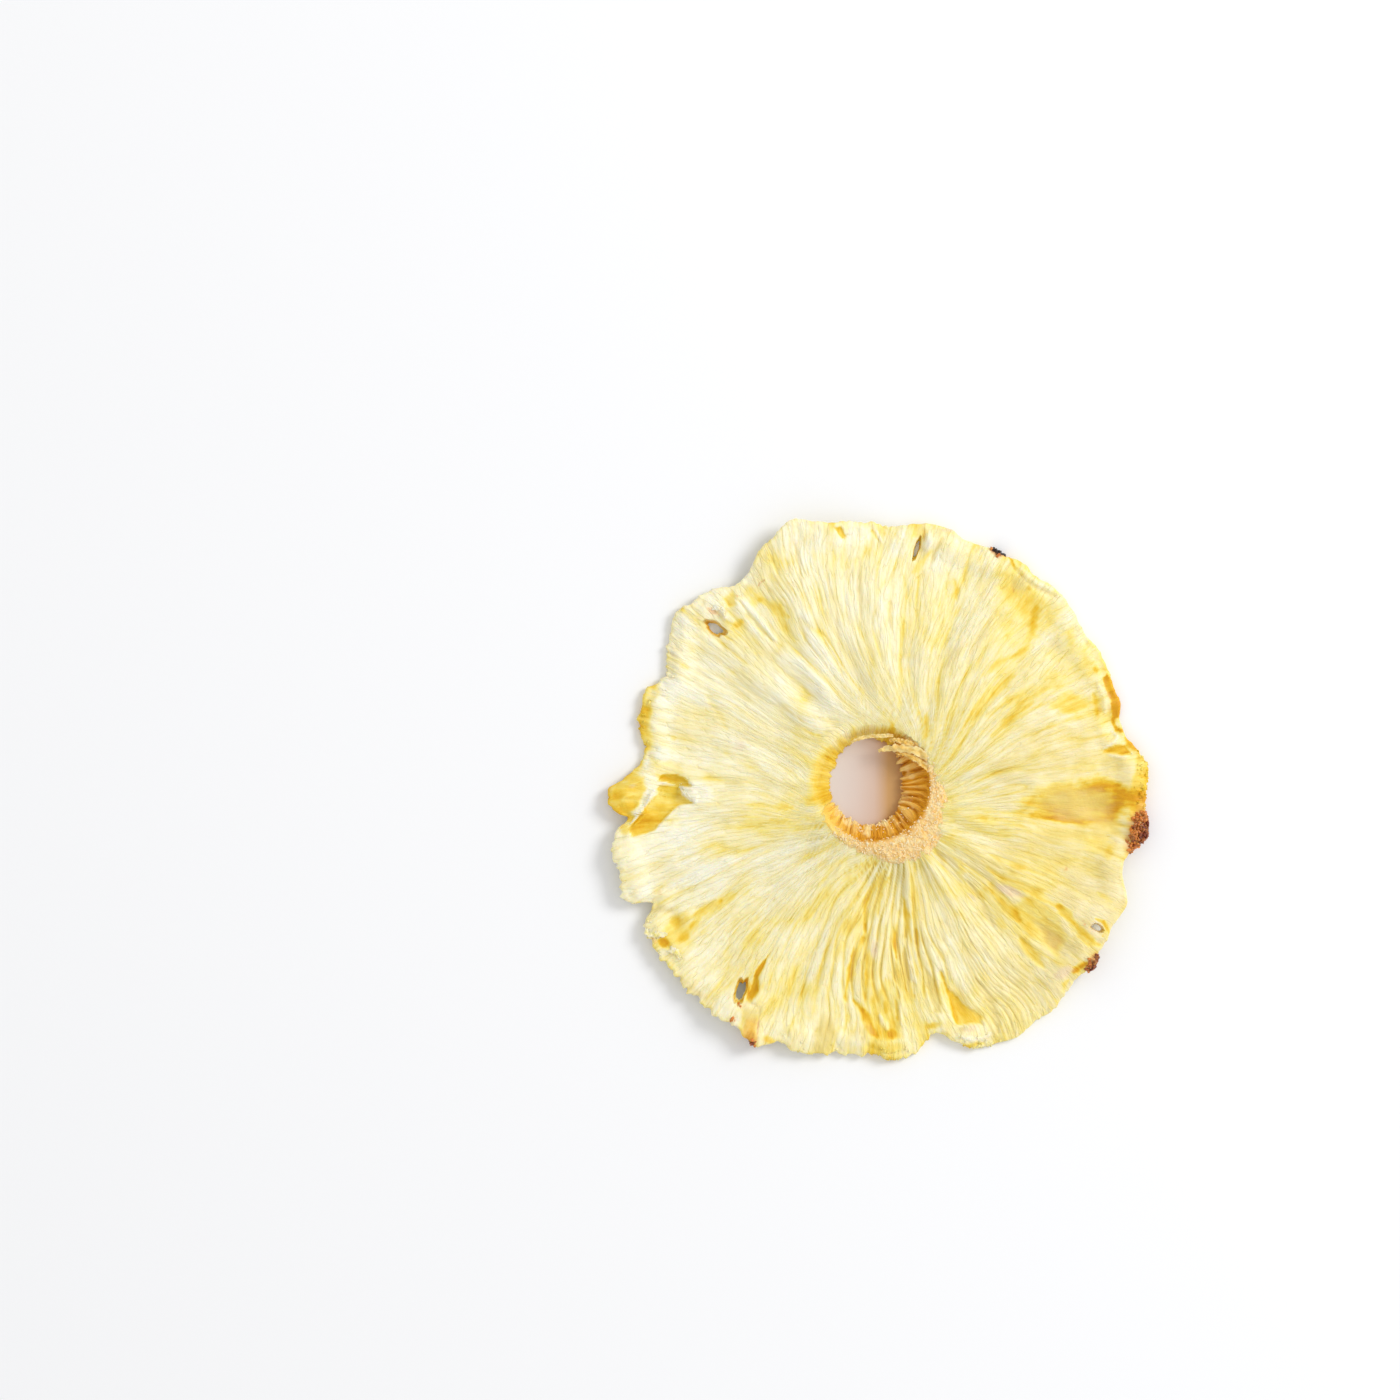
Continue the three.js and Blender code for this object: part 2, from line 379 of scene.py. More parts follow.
TEARS = (
    Tear(78.1, 37.2, 0.5, 1.9, -6.0, 0.1),
    Tear(134.6, 33.7, 0.9, 2.0, 9.0, 0.66),
    Tear(238.6, 37.8, 1.1, 2.5, 10.0, 0.2),
    Tear(327.7, 41.8, 0.6, 1.2, 3.0, 0.0),
)

RIPE, ROSE, DULL_AND_SHADE, BROWN = Tone.RIPE, Tone.ROSE, Tone.DULL_AND_SHADE, Tone.BROWN

# The commonest marks. One of a ripe tone with a negative strength makes the flesh paler.
vein, blush, glaze = partial(Streak, RIPE), partial(Patch, RIPE), partial(Pool, RIPE)
# Dull streaks and patches: the flesh's own dull colour in places, and painted shade along creases, under
# lips and in hollows.
dull_shade_streak, dull_shade_patch = partial(Streak, DULL_AND_SHADE), partial(Patch, DULL_AND_SHADE)

# Lines that two marks share.
POCKET = ((287.2, 30.5), (288.7, 32.5), (288.3, 35.5), (287.6, 37.4), (286.2, 37), (286, 33))
LOW_CREASE = ((282.4, 26.2), (281.7, 28.5), (281.8, 31.3))
TOP_CREASE = ((73, 39.8), (73.8, 37.5), (74.2, 34.6))

MARKS = (
    # Right of the top: the curved streak, its golden field, and the creases below it.
    vein(0.2, 0.8, ((46, 37.8), (44.4, 36), (41.8, 34.4), (40.7, 32.2), (41, 29.5))),
    vein(0.16, 0.5, ((41, 30.5), (42.2, 27.5), (42.6, 24.5)), 0.1),
    blush(0.1, 45, 32.5, 7, 4),
    blush(0.16, 49.5, 37.4, 2.4, 3.6, 0, 0.12),
    dull_shade_patch(0.7, 52.5, 38.8, 1.3, 1.8, 0, 0.2),
    blush(0.16, 50.3, 39.3, 0.5, 0.5),
    vein(0.4, 0.35, ((58.4, 41.8), (56.8, 41), (55.2, 40.2))),
    Patch(BROWN, 0.4, 52.7, 37.5, 0.16, 0.3),
    # A painted shadow line under the rolled lip.
    dull_shade_streak(0.6, 0.32, ((55.5, 40.3), (52.5, 39.9), (49.8, 39.9), (46.8, 40.6), (44, 41.3)), 0.3),
    vein(-0.16, 0.4, ((56, 41.1), (52.6, 40.8), (49.4, 40.8), (46.2, 41.6)), -0.25),
    vein(0.14, 0.8, ((31, 17.5), (34, 20.5), (35.5, 24), (36.2, 28)), 0.15),
    vein(0.12, 0.6, ((20.8, 20.5), (24.2, 24.5), (26.2, 28.5)), 0.12),
    vein(0.1, 0.6, ((29.5, 21), (30.5, 25), (31, 30)), 0.1),
    dull_shade_streak(0.5, 0.6, ((50, 24.5), (52.4, 27), (53, 32)), 0.12),
    dull_shade_streak(0.45, 0.7, ((56, 21.5), (56.5, 27))),
    vein(0.22, 0.5, ((50, 14), (44, 12.8), (38, 11.5)), 0.15),
    vein(-0.12, 0.4, ((48, 14.7), (42, 13.5), (36, 12.3)), -0.15),
    dull_shade_patch(0.5, 36.5, 36.2, 1, 1.3),
    dull_shade_patch(0.5, 57.7, 34.3, 1, 0.5),
    # The eye at the right: amber crescent, white fold, hooked flake and golden triangle.
    glaze(0.75, ((24.6, 41), (20, 41.9), (16.4, 41.8), (14.2, 40.9), (14.6, 39.6), (16.8, 39.8),
         (20, 39.9), (24, 39.7)), 0.4, 0.15),
    glaze(0.5, ((15, 39.9), (13.4, 39.8), (11.4, 40.4), (11.6, 39.2), (13.5, 38.8), (15, 39.3)), 0.4),
    vein(-0.2, 0.6, ((23.5, 39), (20, 39.2), (16.5, 38.6)), -0.3),
    Streak(ROSE, 0.35, 0.3, ((22.5, 39.5), (19.5, 39.7), (16.5, 39.2))),
    blush(0.3, 20.6, 34, 3.6, 1.9, -8, 0.1),
    vein(0.24, 0.6, ((21.6, 37.6), (19.2, 37.6), (16.6, 37.2)), 0.12),
    Patch(BROWN, 0.35, 17.6, 37.9, 0.2, 0.5),
    glaze(0.4, ((7.6, 37), (8.9, 38.9), (8.4, 40.4), (6.2, 41), (6.5, 39.2)), 0.5, 0.3),
    vein(-0.4, 0.3, ((12, 38.7), (10.5, 39.6), (9.3, 38.6), (8.3, 37)), -0.35),
    vein(-0.3, 0.25, ((6.6, 37.7), (5.8, 39.6), (6.3, 41.2)), -0.3),
    dull_shade_patch(0.5, 12, 31.5, 4.4, 2.6),
    dull_shade_patch(0.75, 4, 38, 2.4, 1.7),
    blush(0.3, 26.5, 39.6, 0.5, 0.6),
    blush(-0.14, 33, 40.6, 1.6, 6),
    glaze(0.22, ((6, 42.2), (2, 41.2), (358, 40.4), (355.4, 40.4), (356, 44), (4, 44)), 0.8),
    glaze(0.28, ((7.6, 40.8), (10, 40.2), (11, 41), (6.4, 42.6)), 0.5),
    # The long eye on the right, down to the browned lump.
    blush(0.27, 354.6, 32.8, 8.4, 3.1, 0, 0.12),
    dull_shade_patch(0.75, 354.2, 33, 6, 2.7),
    vein(0.18, 1.3, ((361, 33), (360, 37), (358.4, 39.3), (356.4, 39.4), (353.9, 38.6), (351.6, 36.8),
         (350.2, 34), (349.6, 30), (348.8, 26))),
    glaze(0.2, ((359, 38.6), (358.6, 40.2), (354.5, 40), (351.8, 38.4), (352.2, 37), (355.5, 38.2)), 1.4),
    dull_shade_patch(0.75, 349.2, 37.4, 2.8, 1.5),
    blush(0.16, 349.2, 37.2, 2.8, 1.4),
    Patch(BROWN, 0.34, 354.2, 42.7, 0.9, 1.7),
    vein(0.16, 0.6, ((350.2, 34), (349.6, 31.5), (348.9, 28.5)), 0.08),
    vein(0.14, 0.4, ((349, 29), (348.3, 26), (347.3, 21)), 0.08),
    vein(0.15, 0.7, ((359.6, 39), (359.4, 36), (359.2, 33)), 0.08),
    vein(0.14, 0.9, ((343.5, 19), (340, 14), (337, 12.8)), 0.1),
    dull_shade_patch(0.5, 347.2, 34, 1.8, 0.9),
    dull_shade_patch(0.5, 343.8, 34, 1.3, 1),
    dull_shade_patch(0.55, 339, 38, 4, 3.4),
    blush(0.16, 343.8, 38.8, 0.6, 1.1),
    blush(0.1, 345, 19.5, 2.2, 1.7),
    vein(0.14, 0.5, ((334.5, 39.5), (334, 42))),
    # The gold loop at the lower right, its rosy windows and its browned tip.
    vein(0.2, 0.8, ((321, 24.5), (319.4, 26), (318.8, 28), (318.3, 30), (317.6, 31.6)), 0.15),
    vein(0.2, 0.7, ((324.3, 22.8), (324.7, 26.3), (326.5, 28.8), (326.9, 32), (327.3, 35.2)), 0.12),
    vein(0.36, 1, ((327, 35.4), (326, 37.9), (325, 40.4), (324.8, 42), (325, 43.6)), 0.15),
    glaze(0.2, ((319.5, 29.5), (324.5, 30.5), (326.6, 35.5), (323, 38.5), (318, 39.5),
         (316.6, 34.5)), 1.6, 0.1),
    Pool(DULL_AND_SHADE, 0.85, ((320.6, 33.8), (321.6, 37.2), (321, 40.6), (318.4, 40.4), (317.8, 36.6)), 1.2, 0.2),
    blush(0.26, 319.9, 37.4, 2.2, 1.1),
    dull_shade_patch(0.6, 321.4, 41.3, 1.4, 1.2),
    vein(-0.14, 0.4, ((323, 35), (323.4, 37.5), (323.6, 40)), -0.1),
    Patch(ROSE, 0.8, 322.5, 27.5, 2.1, 0.7, 13, 0.12),
    dull_shade_patch(0.6, 322.3, 27.2, 2.4, 0.9, 13),
    Patch(BROWN, 0.2, 321.9, 27.9, 0.6, 0.14, 13),
    Patch(ROSE, 0.8, 327.4, 41.8, 1.2, 1, 30),
    vein(0.4, 0.35, ((329.2, 41), (329.4, 42.2), (328.6, 43.2), (326.8, 43.4))),
    Patch(ROSE, 0.75, 315.8, 42.2, 0.8, 1.5, -20),
    vein(0.4, 0.45, ((328.2, 43.9), (328.8, 43.3), (329.4, 42.2))),
    vein(0.24, 0.4, ((315.4, 43.6), (314.2, 43.6), (313.2, 44.4))),
    vein(0.4, 0.6, ((317.4, 43.2), (319, 43.5), (320.6, 43.9))),
    Patch(BROWN, 0.5, 326.9, 40.1, 0.25, 0.3),
    Patch(BROWN, 0.3, 327.3, 39.5, 0.2, 0.2),
    Patch(ROSE, 0.5, 312.6, 24, 1.1, 0.4, 8),
    dull_shade_streak(0.7, 0.5, ((315.6, 21.5), (313.6, 25.5), (311.2, 29.5)), 0.2),
    dull_shade_streak(0.6, 0.4, ((316.6, 19.5), (316.6, 17), (314.6, 15.4), (312.6, 17.2), (313, 21)), 0.15),
    blush(0.2, 316.6, 19.8, 0.9, 0.7),
    vein(0.2, 0.6, ((314.3, 34), (314.2, 36), (313.8, 38), (313.6, 39.6)), 0.2),
    blush(0.14, 313.4, 30.1, 1.2, 0.6),
    vein(0.14, 0.5, ((329.6, 22), (331, 26), (332, 30)), 0.1),
    Patch(BROWN, 0.5, 336.5, 33.4, 0.16, 0.3),
    # The pockets along the bottom.
    glaze(0.34, ((290.8, 31.2), (291.7, 31.4), (291.6, 34.2), (293.2, 36.6), (294.4, 38.5), (295.8, 40.3),
         (295.4, 41.5), (292, 40.4), (290.1, 39.9), (290.4, 37.6), (290.5, 33.5)), 0.45, 0.35),
    vein(0.2, 0.45, ((291.4, 32.5), (290.9, 34.5), (290.8, 37.5), (290.6, 39.5)), 0.1),
    vein(-0.1, 0.4, ((289.6, 31), (289.4, 35), (289.2, 38.5)), -0.22),
    Patch(ROSE, 0.5, 292.8, 41.4, 0.6, 1.3),
    dull_shade_patch(0.9, 291, 41, 0.5, 0.7, 0, 0.2),
    vein(-0.2, 0.45, ((290.4, 42.1), (291.9, 42.9), (294, 43.5), (296.1, 43.4)), -0.35),
    vein(0.3, 0.45, ((290.2, 43.6), (292.2, 44), (294, 44.2))),
    dull_shade_streak(0.8, 0.6, ((298.9, 34.8), (299.6, 38.5), (298.6, 41.5), (297.7, 43.8)), 0.2),
    blush(-0.12, 296, 33.4, 2.6, 1.5),
    glaze(0.15, POCKET, 0.6, 0.25),
    Pool(DULL_AND_SHADE, 0.7, POCKET, 0.8),
    blush(0.26, 284.8, 39.1, 0.6, 1.2, 0, 0.12),
    blush(0.1, 287.3, 40.9, 0.5, 0.9),
    dull_shade_streak(0.9, 0.4, LOW_CREASE, 0.25),
    vein(0.2, 0.35, LOW_CREASE),
    vein(-0.25, 0.45, ((283.2, 28.6), (283.3, 30.5), (283.6, 32)), -0.2),
    vein(0.2, 0.4, ((288.3, 24), (287, 26.7)), 0.15),
    vein(0.16, 0.4, ((280, 22.7), (279.3, 27.4)), 0.15),
    glaze(0.18, ((270.6, 34), (275, 30.4), (277.4, 31), (278.2, 34), (277.8, 40), (271.8, 40)), 1, 0.15),
    vein(0.52, 0.65, ((266.2, 33.8), (268.4, 35.2), (270.2, 37.4), (272, 39.4)), 0.2),
    blush(0.22, 275.6, 39.3, 0.8, 0.7),
    blush(0.14, 274.6, 35, 1, 0.5),
    vein(0.22, 0.35, ((277.4, 34), (277.4, 35.5), (277.2, 37)), 0.1),
    vein(-0.4, 0.5, ((273.2, 36.3), (273.9, 37.3), (274.5, 38.4)), -0.35),
    vein(-0.22, 0.35, ((277.4, 31), (278.9, 33), (278.4, 35.3), (278, 38)), -0.25),
    dull_shade_patch(0.45, 268.4, 38.6, 1.4, 1.7),
    blush(0.14, 270.5, 31, 4.6, 1.4),
    vein(0.16, 0.5, ((269.4, 33.4), (269.6, 30), (269.2, 25.5), (269, 22)), 0.15),
    Patch(ROSE, 0.7, 272.4, 25.8, 1.6, 0.5, -6, -0.12),
    blush(-0.25, 272.4, 25.8, 1.8, 0.6, -6),
    vein(-0.12, 0.3, ((263.9, 38.2), (263.8, 34.4)), -0.2),
    vein(0.2, 0.6, ((264.4, 34), (264.6, 30), (265.6, 27), (268.4, 24)), 0.2),
    blush(0.14, 261.8, 22.6, 1.3, 0.8, 0, 0.1),
    vein(0.22, 0.5, ((284, 14.7), (278, 16), (275.5, 18.5), (274.5, 20.5)), 0.18),
    vein(0.22, 0.5, ((281, 13.7), (276, 15.3), (271, 17), (269, 19), (269, 23)), 0.18),
    vein(0.2, 0.5, ((300, 14.5), (295, 16.3), (291, 19.5), (287, 26)), 0.2),
    vein(0.16, 0.45, ((287.5, 19), (285.5, 22), (284, 24.5)), 0.18),
    vein(0.16, 0.45, ((283.5, 20.5), (279.5, 25), (279.5, 28)), 0.18),
    vein(0.14, 0.6, ((276, 12.6), (266, 12.8)), 0.1),
    vein(0.12, 0.6, ((256, 12), (249, 13.4), (245.5, 16.5)), 0.1),
    blush(0.12, 273, 41.3, 0.9, 5.4),
    # The slit eye at the lower left and its dried pod.
    glaze(0.6, ((239.6, 30.4), (240.4, 31), (240.4, 34.5), (242, 36.5), (242, 38.5), (240.8, 38.6),
         (240.2, 36), (239, 34)), 0.4, 0.35),
    dull_shade_patch(0.5, 241.6, 38.6, 0.5, 0.5),
    Pool(DULL_AND_SHADE, 0.8, ((240.6, 39.4), (244, 39), (245, 41), (241.8, 41.4)), 0.6),
    glaze(0.2, ((240.8, 40), (244.6, 40), (246.4, 43.4), (245.6, 44.4), (242.4, 43.6)), 0.7),
    Pool(BROWN, 0.3, ((242.4, 41), (244.9, 40.6), (246.4, 43.4), (245.6, 44.4), (243.4, 43.6)), 0.7),
    dull_shade_streak(0.9, 0.25, ((241.8, 38.7), (244.4, 38.6), (245.2, 40.3)), 0.25),
    Streak(BROWN, 0.5, 0.22, ((245.2, 40.3), (246.1, 42.4), (246.6, 43.4)), 0.25),
    Patch(BROWN, 0.85, 246.2, 44.1, 0.4, 0.5),
    Patch(BROWN, 0.55, 245.2, 43.4, 1.1, 1.1),
    dull_shade_patch(0.9, 260, 40.4, 3.4, 1.8),
    blush(0.1, 260, 40.4, 3.4, 1.8),
    vein(0.26, 0.35, ((265, 25.5), (264.5, 30), (263.8, 33.5)), 0.1),
    dull_shade_streak(0.8, 0.35, ((282.2, 25.5), (281.6, 29.5), (281.2, 33)), 0.12),
    vein(-0.3, 0.4, ((283.8, 25), (283.1, 29.5), (282.6, 33.5)), -0.12),
    vein(0.2, 0.35, ((286.8, 18.5), (286.1, 22), (285.4, 25.5))),
    Patch(BROWN, 0.9, 240.4, 42.2, 0.25, 0.35),
    Patch(BROWN, 0.8, 240.1, 39.8, 0.2, 0.25),
    blush(0.26, 249, 42.7, 0.7, 1.3),
    Patch(BROWN, 0.16, 248.6, 43, 0.5, 1),
    blush(0.12, 249, 33, 3, 0.8),
    # The lower left: golden spots and a streak.
    vein(0.14, 0.7, ((220.4, 26.8), (218.9, 29.3)), 0.08),
    vein(0.26, 0.9, ((218.9, 29.3), (218.4, 33), (219.2, 35.4)), 0.1),
    blush(0.16, 220, 37.2, 1.3, 0.8, 0, 0.12),
    blush(0.14, 215.7, 36.9, 0.9, 0.9, 0, 0.15),
    blush(0.34, 218.2, 40.2, 0.7, 1.4, 10, 0.2),
    blush(0.18, 218, 37.5, 3.4, 3.2),
    Patch(BROWN, 0.4, 207.9, 36.5, 0.25, 0.5),
    Patch(BROWN, 0.5, 216.1, 41.2, 0.25, 0.9),
    dull_shade_streak(0.8, 0.5, ((210.4, 39), (211.6, 37.6), (213, 36.4)), 0.2),
    blush(-0.16, 206.6, 38.6, 1.4, 1.8),
    dull_shade_streak(0.55, 0.6, ((225.5, 42), (229, 42.2), (233, 41.8))),
    vein(0.2, 0.5, ((190.2, 19), (193, 15.6), (198, 12.4)), 0.12),
    vein(0.12, 0.5, ((200, 16.2), (205, 13.6)), 0.08),
    vein(0.1, 0.4, ((209.6, 20), (209, 23.5)), 0.1),
    blush(0.1, 204, 13, 1.6, 3.4),
    # The big cavity on the left: its roof, golden dome and basin, strap and lobe.
    glaze(0.16, ((173.8, 34), (173.8, 29.2), (178.2, 28.4), (178.8, 32.6)), 0.7),
    glaze(0.62, ((179.6, 32.8), (177.6, 31.8), (177.6, 29.6), (179.2, 28.2), (181.2, 27.4),
         (180.9, 29.6)), 0.35, 0.5),
    glaze(0.5, ((180.4, 32.4), (180.9, 29.4), (184, 29), (186.4, 27.4), (187, 29.6), (188.4, 31.2),
         (190.8, 32.6), (192.3, 34.4), (192.8, 37.4), (190.8, 37.6), (187.2, 35.2),
         (184, 33.8)), 0.35, 0.45),
    blush(0.1, 188.6, 34.6, 1.8, 0.9),
    blush(0.3, 182.4, 31, 1.2, 1.4),
    blush(0.4, 188.2, 37.4, 0.9, 0.7),
    blush(0.12, 181, 31.6, 0.9, 0.5),
    vein(-0.3, 0.16, ((181, 31.4), (182.8, 32.1), (184, 31.3)), -0.3),
    glaze(-0.6, ((181.2, 33.1), (182.6, 32.5), (184.6, 33.5), (185.6, 34.6), (184.4, 34.6),
         (182.6, 33.9)), 0.3, -0.6),
    vein(-0.4, 0.2, ((185.2, 34.4), (187.4, 35.7), (189.6, 37.1)), -0.5),
    vein(-0.2, 0.16, ((187.6, 34.6), (189, 35.7), (190.4, 36.9)), -0.25),
    blush(-0.2, 183.4, 26.2, 2.2, 1.9, -10, -0.12),
    glaze(-0.2, ((181, 28.9), (181.4, 27.4), (184, 26.4), (186.6, 26.8), (184.4, 27.5), (183.6, 28.8),
         (182.4, 29.4), (182.2, 28.4)), 0.4, -0.3),
    glaze(0.6, ((178.4, 34.6), (177.2, 37), (178.6, 39.5), (182, 41.5), (187, 41.5), (187.6, 38.6),
         (185, 35.6), (181.6, 34.3)), 0.7),
    glaze(0.2, ((184.4, 35.8), (186.6, 36.6), (189.4, 38.2), (187, 39.4), (184.4, 38.4)), 0.4, 0.35),
    vein(-0.3, 0.3, ((179, 38.6), (181.5, 39.9), (184.5, 39.9)), -0.2),
    vein(-0.25, 0.22, ((182.8, 36.2), (183.2, 37.8), (185.6, 38.8)), -0.3),
    vein(-0.25, 0.22, ((179.4, 35), (180.4, 36.6), (179.8, 38.2)), -0.25),
    Patch(ROSE, 0.6, 180.6, 36.4, 0.35, 0.35),
    blush(0.3, 190.8, 38.4, 0.8, 0.8, 0, 0.15),
    Streak(BROWN, 0.4, 0.2, ((190.4, 38.8), (188.6, 38.2), (187.6, 37.6))),
    blush(-0.12, 199, 33.5, 7.5, 5.2),
    # The upper left: the golden margin and pale skin.
    glaze(0.34, ((178, 35.6), (174, 34.8), (170, 33.8), (166, 34.8), (160, 35.6), (156.4, 35.2),
         (155, 36.6), (160, 38), (170, 36.6), (177, 37)), 1.3),
    blush(0.16, 164, 36, 1, 2.4),
    blush(-0.2, 158, 36.4, 0.8, 1),
    blush(-0.2, 174, 34.6, 0.6, 1.4),
    blush(-0.24, 172.6, 32.2, 1.3, 1.3),
    blush(-0.2, 156.5, 34, 2, 2.6),
    blush(0.2, 167, 31, 0.6, 0.4),
    blush(0.12, 163.5, 28, 4, 3),
    vein(0.14, 0.8, ((151.5, 28.5), (156, 25), (158.8, 23.4)), 0.12),
    Patch(ROSE, 0.4, 163.6, 20.7, 1.3, 0.9),
    vein(0.12, 0.7, ((168.6, 22.5), (170.5, 19), (172.2, 17)), 0.12),
    vein(0.1, 0.4, ((160.6, 20.5), (160.4, 17.2)), 0.1),
    blush(-0.1, 145, 32, 6, 4),
    blush(-0.08, 150, 21, 6, 2),
    blush(0.16, 147.5, 33.7, 1, 0.6),
    vein(0.12, 0.5, ((140.4, 19.5), (137.4, 16)), 0.12),
    # The torn eye at the upper left and the golden folds beside it.
    blush(0.32, 129.4, 31.9, 0.6, 1, 0, 0.1),
    blush(0.1, 131.5, 31.2, 1.1, 2.6),
    vein(-0.4, 0.5, ((129, 35.4), (130.2, 34.8), (131.2, 33.6)), -0.4),
    glaze(0.36, ((124.9, 36.8), (128.4, 36.4), (128.6, 34.8), (126.2, 34.2), (125.2, 35.4)), 0.6, 0.3),
    dull_shade_patch(0.35, 126.6, 35.6, 0.9, 1),
    Patch(BROWN, 0.5, 125, 35.4, 0.35, 0.2),
    blush(0.24, 121.8, 35, 1.1, 1.1),
    blush(0.26, 121.4, 33.3, 1.1, 1.1),
    vein(0.27, 0.9, ((120.8, 33), (118.8, 31.8), (117, 30.4), (115.6, 28.6))),
    vein(0.2, 0.4, ((125.3, 34.7), (124.9, 30), (124.1, 26.7)), 0.25),
    vein(-0.14, 0.45, ((124.4, 34.5), (124.1, 31), (122.8, 26.5)), -0.25),
    blush(0.1, 116.5, 29, 3, 2),
    Streak(BROWN, 0.8, 0.22, ((119.2, 35), (118.1, 35.25), (117.1, 35.3)), 0.25),
    Pool(BROWN, 0.5, ((130.8, 36.2), (132.4, 36.8), (132.8, 35.8), (131.4, 34.8)), 0.5),
    vein(0.1, 0.35, ((114.6, 38), (113, 37.2), (113.4, 35.4)), 0.15),
    # The top: two small openings, the torn eye and its yellow ridge.
    glaze(0.52, ((97.3, 39.8), (96, 39.7), (95.7, 38.9), (95.2, 38.4), (95.9, 38.1),
         (96.7, 38.8)), 0.3, 0.35),
    vein(0.2, 0.3, ((89.2, 39.3), (88.4, 38.5), (87.4, 37.6)), 0.25),
    vein(-0.3, 0.25, ((88, 39.2), (87.2, 38.2), (86.6, 37.4)), -0.2),
    blush(-0.14, 91, 38.2, 1.8, 4.2),
    blush(-0.12, 100.5, 38, 2, 2.4),
    dull_shade_streak(0.4, 0.35, ((92.3, 34.8), (92.7, 31), (92.5, 25.5)), 0.14),
    dull_shade_streak(0.5, 0.3, ((101.1, 34.4), (101, 30.5), (100.3, 27)), 0.12),
    dull_shade_streak(0.6, 0.5, ((102.2, 20), (101.6, 24), (100.3, 27)), 0.12),
    dull_shade_streak(0.5, 0.4, ((82.9, 28.4), (81.8, 24.2)), 0.1),
    dull_shade_streak(0.6, 0.35, ((107.3, 39.8), (107.2, 36.9), (108.6, 32.3)), 0.15),
    glaze(0.16, ((80.2, 41), (77.6, 41.4), (77, 39), (79.8, 38.8)), 0.5, 0.15),
    Streak(BROWN, 0.3, 0.18, ((77.8, 41.4), (77.2, 39.6), (77, 38.6)), 0.1),
    vein(0.24, 0.6, ((74.4, 37.4), (76, 35.5), (77.9, 33.4)), -0.12),
    dull_shade_streak(0.9, 0.4, TOP_CREASE, 0.25),
    vein(0.14, 0.4, TOP_CREASE),
    blush(-0.3, 75.9, 38.6, 1.6, 0.7, 0, -0.25),
    blush(-0.18, 82, 37.2, 2.4, 1.6),
    Streak(ROSE, 0.8, 0.4, ((73.6, 40.8), (71.8, 41.4), (70.8, 42.2)), 0.1),
    Streak(ROSE, 0.6, 0.22, ((69.8, 41.6), (68.6, 39.4))),
    vein(0.18, 0.4, ((66.9, 34.4), (65.4, 33), (64, 31.6)), 0.1),
    vein(0.14, 0.6, ((75.6, 19.8), (71.5, 15.8), (66, 12)), 0.12),
    vein(0.1, 0.5, ((83, 15.8), (79, 12.8)), 0.1),
    vein(0.1, 0.5, ((96.5, 13.6), (88, 11.2)), 0.08),
    blush(-0.14, 72, 19.6, 0.7, 1.4),
    # Browned places.
    Pool(BROWN, 0.88, ((352.6, 43.2), (351.4, 42.2), (349.4, 42.2), (347.6, 43), (348, 45.5),
         (352.4, 45.5)), 1.1),
    Pool(BROWN, 0.64, ((354.6, 42.4), (352.8, 41.2), (350.6, 41.2), (347.4, 40.9), (344.8, 41.6),
         (345, 45.5), (354.6, 45.5)), 1.2),
    glaze(0.14, ((358.6, 42), (355, 40.8), (352, 40.8), (347, 40.4), (344, 41.2), (344.6, 45.5),
         (357.4, 45.5)), 1.2),
    vein(-0.2, 0.3, ((350, 38.6), (349.4, 41), (348.4, 42)), -0.15),
    vein(-0.2, 0.3, ((348, 38), (347, 40.6), (345.8, 42)), -0.15),
    vein(-0.15, 0.3, ((351.6, 38.8), (351.4, 40.4), (351.2, 41.6)), -0.15),
    Pool(BROWN, 0.85, ((319.4, 44.3), (320, 46), (323.4, 46.4), (323.6, 44.6), (322.6, 43.6),
         (321.2, 43.9)), 0.7),
    Patch(BROWN, 0.35, 323.2, 44.2, 0.5, 0.4),
    Pool(BROWN, 1, ((58, 42.8), (58.6, 41.1), (60.4, 40.7), (62, 40.9), (62.8, 42.8)), 0.3),
)


# ---- The ring's form ----


@dataclass(frozen=True)
class Collar:
    """The core's collar at each angle, as arrays of millimetres."""

    foot: np.ndarray
    mouth: np.ndarray
    shoulder: np.ndarray
    heel: np.ndarray
    start: np.ndarray
    height: np.ndarray
    proud: np.ndarray
    slump: np.ndarray

    @property
    def lip(self) -> np.ndarray:
        """The height of the hole's edge."""
        return self.height - self.slump


